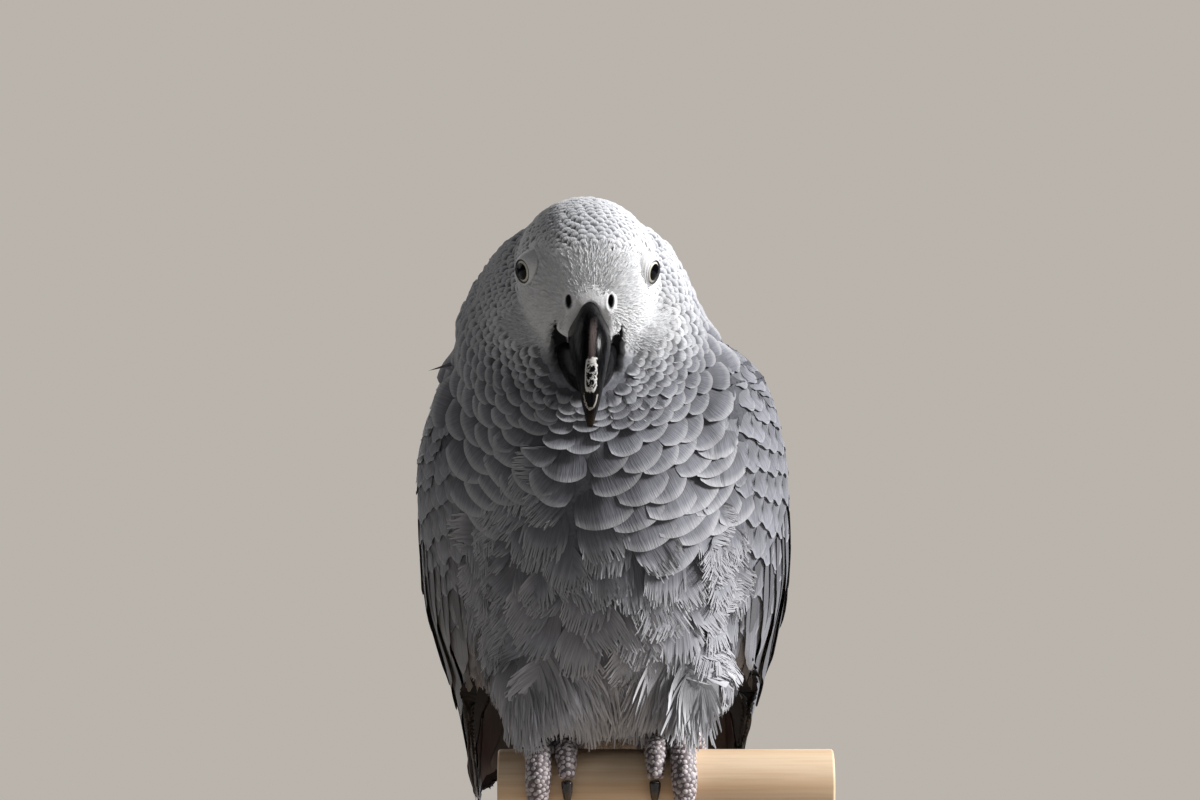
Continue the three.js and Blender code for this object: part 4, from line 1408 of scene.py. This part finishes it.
def lids(word):
    """Bare skin from the eyeball's edge out over the flesh round its socket."""
    axis, centre = eye_axis(word), EYES[word]
    up = (HEAD_UP - axis * HEAD_UP.dot(axis)).normalized()
    ahead = up.cross(axis)

    def towards(spin, angle):
        return axis * math.cos(angle) + (ahead * math.cos(spin) + up * math.sin(spin)) * math.sin(angle)

    def socket_rim(spin):
        """The angle from the eye's axis at which the flesh begins, in degrees."""
        for angle in range(44, 112, 2):
            way = towards(spin, math.radians(angle))
            if skin.tree.ray_cast(centre, way, 8.5 * MM)[0] is not None:
                return angle
        return 112

    around = [socket_rim(2 * math.pi * step / LID_STEPS) for step in range(LID_STEPS)]

    def ring(u, v):
        spin = 2 * math.pi * u
        step = round(u * LID_STEPS)
        rim = max(around[(step + shift) % LID_STEPS] for shift in range(-3, 4))
        edge = max(float(bare_edge(spin)) + 7, rim + 10)
        angle = math.radians(LID - 1.5 + (edge - LID) * v**1.15)
        way = towards(spin, angle)
        above = 3.5 * max(0, math.sin(spin)) ** 5
        above += 2.6 * max(0, (ahead * math.cos(spin) + up * math.sin(spin)).dot(FORWARD))
        hit = skin.tree.ray_cast(centre + way * (9 + above) * MM, -way)[0]
        ground = min((hit - centre).length, (7.5 + above) * MM) if hit is not None else EYE_RADIUS
        lid = EYE_RADIUS + (0.55 * float(smooth(-0.02, 0.06, v)) + 0.05 * math.cos(v * 34)) * MM
        share = float(smooth(0.15, 0.85, v))
        return centre + way * (lid * (1 - share) + max(ground + 0.15 * MM, EYE_RADIUS * 0.9) * share)

    mesh = mesh_of(loft(ring, LID_STEPS, 22, caps=False), "lids")
    angle = round_eye(np.array([v.co for v in mesh.vertices]), word)[1]
    paint(mesh, mix(DARK_AND_SHADE * 2, BARE, smooth(LID + 0.8, LID + 2.6, angle)))
    piece(f"lids_{word}", mesh, bare_finish, slot="plumage")


for word in SIDES:
    eyeball(word)
    lids(word)

# ---- Feet and claws ------------------------------------------------------------------------------

foot_skin = painted("scaled foot skin", 0.5, Specular_IOR_Level=0.4)
SCALE = np.array([0.50, 0.45, 0.465])
CREASE = np.array([0.15, 0.12, 0.13])
SCALE_GAP = 1.18 * MM


def foot(word):
    """The foot's skin, and raised scales spread over it wherever it doesn't grip the perch."""
    node = f"foot_{word}"
    one_surface = ("REMESH", {"mode": "VOXEL", "voxel_size": 0.55 * MM})
    mesh = reshaped(mesh_of(clean_copy(node), node), one_surface, ("SMOOTH", {"iterations": 8}))
    surface = Surface(mesh)
    paint(mesh, np.tile(CREASE, (len(surface.points), 1)))
    mesh.shade_smooth()
    piece(f"foot_skin_{word}", mesh, foot_skin, (node,), "foot_skin")
    centres = surface.points[surface.triangles].mean(1)
    off_axis = np.hypot(centres[:, 1] - AXIS_Y, centres[:, 2] - (PERCH_TOP - PERCH_RADIUS))
    roots, faces = scattered(surface, off_axis > PERCH_RADIUS + 1.2 * MM, 0.62 * MM)
    crowd = Crowd(SCALE_GAP)
    kept = [i for i in rng.permutation(len(roots)).tolist() if crowd.takes(roots[i], SCALE_GAP)]
    roots, faces = roots[kept], faces[kept]
    normals = surface.normals_at(roots, faces)
    sides = unit(np.cross(normals, [0.0, 0.3, 1.0]))
    runs = np.cross(normals, sides)
    coat = Coat(Vane(3, 3, WHOLE), surface)
    x, y = coat.vane.a, 2 * coat.vane.b - 1
    disc_x, disc_y = x * np.sqrt(1 - y**2 / 2), y * np.sqrt(1 - x**2 / 2)
    dome = (1 - np.clip(disc_x**2 + disc_y**2, 0, 1)) ** 0.6
    size = rng.uniform(0.76, 0.86, (len(roots), 1)) * MM
    points = roots[:, None] + sides[:, None] * (disc_x * size)[..., None]
    points = points + runs[:, None] * (disc_y * size * 0.92)[..., None]
    points = points + normals[:, None] * ((dome * 0.40 - 0.1) * MM)[None, :, None]
    side, front, up = local(roots).T
    turn = np.arctan2(up + 10, front) / (2 * np.pi) + 0.5
    patch = np.stack([0.02 + 0.96 * turn, np.clip((side + 40) / 80, 0.01, 0.99)], 1)
    coat.keep(points, patch, SCALE * rng.uniform(0.72, 1.2, (len(roots), 1)), 0.0)
    coat.build(f"foot_scales_{word}", foot_skin, slot="foot_skin")


def claw_finish():
    f = Finish("black claw", 0.25, Specular_IOR_Level=0.6, Coat_Weight=0.2)
    grain = f.noise(f.place(), 900, 3.0)
    f.colour(f.mix(grain, (0.012, 0.011, 0.012, 1), (0.035, 0.030, 0.030, 1)))
    f.bump(grain, 0.2, 0.0002)
    return f.material


claw_horn = claw_finish()


def claw(node):
    """A claw with the facets of its solid rounded off."""
    rounder = ("SUBSURF", {"levels": 2, "render_levels": 2})
    mesh = reshaped(mesh_of(clean_copy(node), node), rounder)
    mesh.shade_smooth()
    piece(f"{node}_horn", mesh, claw_horn, (node,), "horn")


for word in SIDES:
    foot(word)
    for toe in range(1, 5):
        claw(f"claw_{word}_toe_{toe}")

# ---- Perch and display stand ---------------------------------------------------------------------


def wood_finish(name, scale, pale, deep):
    """Pine with its grain along the axis whose scale is smallest."""
    f = Finish(name, 0.6, Specular_IOR_Level=0.2)
    place = f.place(scale)
    broad = f.noise(place, 1.0, 4.0, 0.5)
    fine = f.noise(f.stretched(place, (6, 6, 6)), 1.0, 3.0, 0.6)
    wood = f.mix(f.range(broad, 0.38, 0.66), pale, deep)
    f.colour(f.mix(f.range(fine, 0.45, 0.75, 0.0, 0.28), wood, (0.54, 0.33, 0.17, 1)))
    f.bump(fine, 0.12, 0.0002)
    return f.material


PINE, TAN = (0.80, 0.62, 0.44, 1), (0.70, 0.49, 0.31, 1)
along_x = wood_finish("pine across", (6, 190, 190), PINE, TAN)
along_z = wood_finish("pine upright", (190, 190, 8), PINE, TAN)
along_y = wood_finish("pine board", (5, 70, 70), (0.74, 0.52, 0.32, 1), (0.60, 0.37, 0.20, 1))


def bevelled(bm, edges, offset, segments):
    shape = {"segments": segments, "profile": 0.5, "affect": "EDGES", "material": -1}
    bmesh.ops.bevel(bm, geom=edges, offset=offset, **shape)


def wooden(bm, node, mesh_name, finish):
    mesh = mesh_of(bm, mesh_name)
    mesh.set_sharp_from_angle(angle=math.radians(30))
    piece(f"{node}_wood", mesh, finish, (node,), "wood")


def level(edge):
    return abs(edge.verts[0].co.z - edge.verts[1].co.z) < 1e-6


def dowel(node, axis, finish, bevel):
    """A turned rod along one axis, with its end rims eased."""
    low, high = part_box(node)
    length = (high - low)[axis]
    radius = (high - low)[(axis + 1) % 3] / 2
    bm = bmesh.new()
    turn = Matrix.Rotation(math.pi / 2, 4, "Y") if axis == 0 else Matrix.Identity(4)
    bmesh.ops.create_cone(bm, cap_ends=True, segments=96, radius1=radius, radius2=radius, depth=length)
    rims = [e for e in bm.edges if level(e) and all(abs(abs(v.co.z) - length / 2) < 1e-6 for v in e.verts)]
    bevelled(bm, rims, bevel, 3)
    bmesh.ops.transform(bm, matrix=Matrix.Translation(middle_of(node)) @ turn, verts=bm.verts)
    wooden(bm, node, node, finish)


def board():
    low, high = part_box("stand_base")
    bm = bmesh.new()
    place = Matrix.Translation(middle_of("stand_base")) @ Matrix.Diagonal((*(high - low), 1))
    bmesh.ops.create_cube(bm, size=1, matrix=place)
    bevelled(bm, [e for e in bm.edges if abs(e.verts[0].co.z - e.verts[1].co.z) > 1e-6], 26 * MM, 16)
    rims = [e for e in bm.edges if level(e) and len(e.link_faces) == 2]
    rims = [e for e in rims if abs(e.link_faces[0].normal.z) + abs(e.link_faces[1].normal.z) > 0.5]
    bevelled(bm, rims, 2.4 * MM, 4)
    wooden(bm, "stand_base", "stand base", along_y)


dowel("stand_perch", 0, along_x, 0.8 * MM)
dowel("stand_rod_1", 2, along_z, 0.2 * MM)
dowel("stand_rod_2", 2, along_z, 0.2 * MM)
board()

# ---- Camera, floor and light ---------------------------------------------------------------------

CAMERA_SIDE, CAMERA_AWAY, CAMERA_UP = -1.2, 1000, 26
FOCAL_PIXELS = 3400
PICTURE = (1200, 800)
HORIZON_ROW = 660
SENSOR = 36
FLOOR_RADIUS = 1.7
FLOOR_LEVEL = -0.0004


def in_scene(name, data):
    obj = bpy.data.objects.new(name, data)
    bpy.context.scene.collection.objects.link(obj)
    return obj


def look():
    lens = bpy.data.cameras.new("camera")
    lens.sensor_width = SENSOR
    lens.lens = FOCAL_PIXELS / PICTURE[0] * SENSOR
    lens.clip_start, lens.clip_end = 0.05, 20
    camera = in_scene("camera", lens)
    camera.location = at(CAMERA_SIDE, CAMERA_AWAY, CAMERA_UP)
    camera.rotation_euler = (math.pi / 2 + math.atan((HORIZON_ROW - PICTURE[1] / 2) / FOCAL_PIXELS), 0, 0)
    bpy.context.scene.camera = camera


def floor():
    bm = bmesh.new()
    place = Matrix.Translation((0, 0, FLOOR_LEVEL))
    bmesh.ops.create_circle(bm, cap_ends=True, segments=96, radius=FLOOR_RADIUS, matrix=place)
    obj = in_scene("floor", mesh_of(bm, "floor", soft=False))
    f = Finish("pale floor", 0.75)
    f.colour((0.335, 0.325, 0.308, 1))
    obj.data.materials.append(f.material)


def sun(name, place, strength, spread, tint):
    """Even light on the bird from one side, soft by its spread in degrees."""
    data = bpy.data.lights.new(name, "SUN")
    data.energy = strength
    data.angle = math.radians(spread)
    data.color = tint
    aim = at(0, 20, 80)
    in_scene(name, data).rotation_euler = (aim - at(*place)).to_track_quat("-Z", "Y").to_euler()


look()
floor()
sun("key", (1000, 190, 600), 6.3, 15, (1.0, 0.995, 0.985))
sun("fill", (300, 1200, 800), 0.12, 60, (0.97, 0.985, 1.0))
sun("rim", (-900, -350, 500), 0.3, 40, (1.0, 0.99, 0.97))
sun("back", (-150, -1000, 560), 1.1, 50, (1.0, 0.995, 0.99))


def room():
    """Taupe behind the bird, and a dimmer tone of it as the light from all round."""
    world = bpy.data.worlds.new("room")
    bpy.context.scene.world = world
    world.use_nodes = True
    nodes, links = world.node_tree.nodes, world.node_tree.links
    seen = nodes["Background"]
    seen.inputs["Color"].default_value = (0.49, 0.455, 0.415, 1)
    round_about = nodes.new("ShaderNodeBackground")
    round_about.inputs["Color"].default_value = (0.023, 0.0229, 0.0248, 1)
    rays = nodes.new("ShaderNodeLightPath")
    choice = nodes.new("ShaderNodeMixShader")
    links.new(rays.outputs["Is Camera Ray"], choice.inputs["Fac"])
    links.new(round_about.outputs[0], choice.inputs[1])
    links.new(seen.outputs[0], choice.inputs[2])
    links.new(choice.outputs[0], nodes["World Output"].inputs["Surface"])


room()
bpy.context.scene.view_settings.view_transform = "Standard"
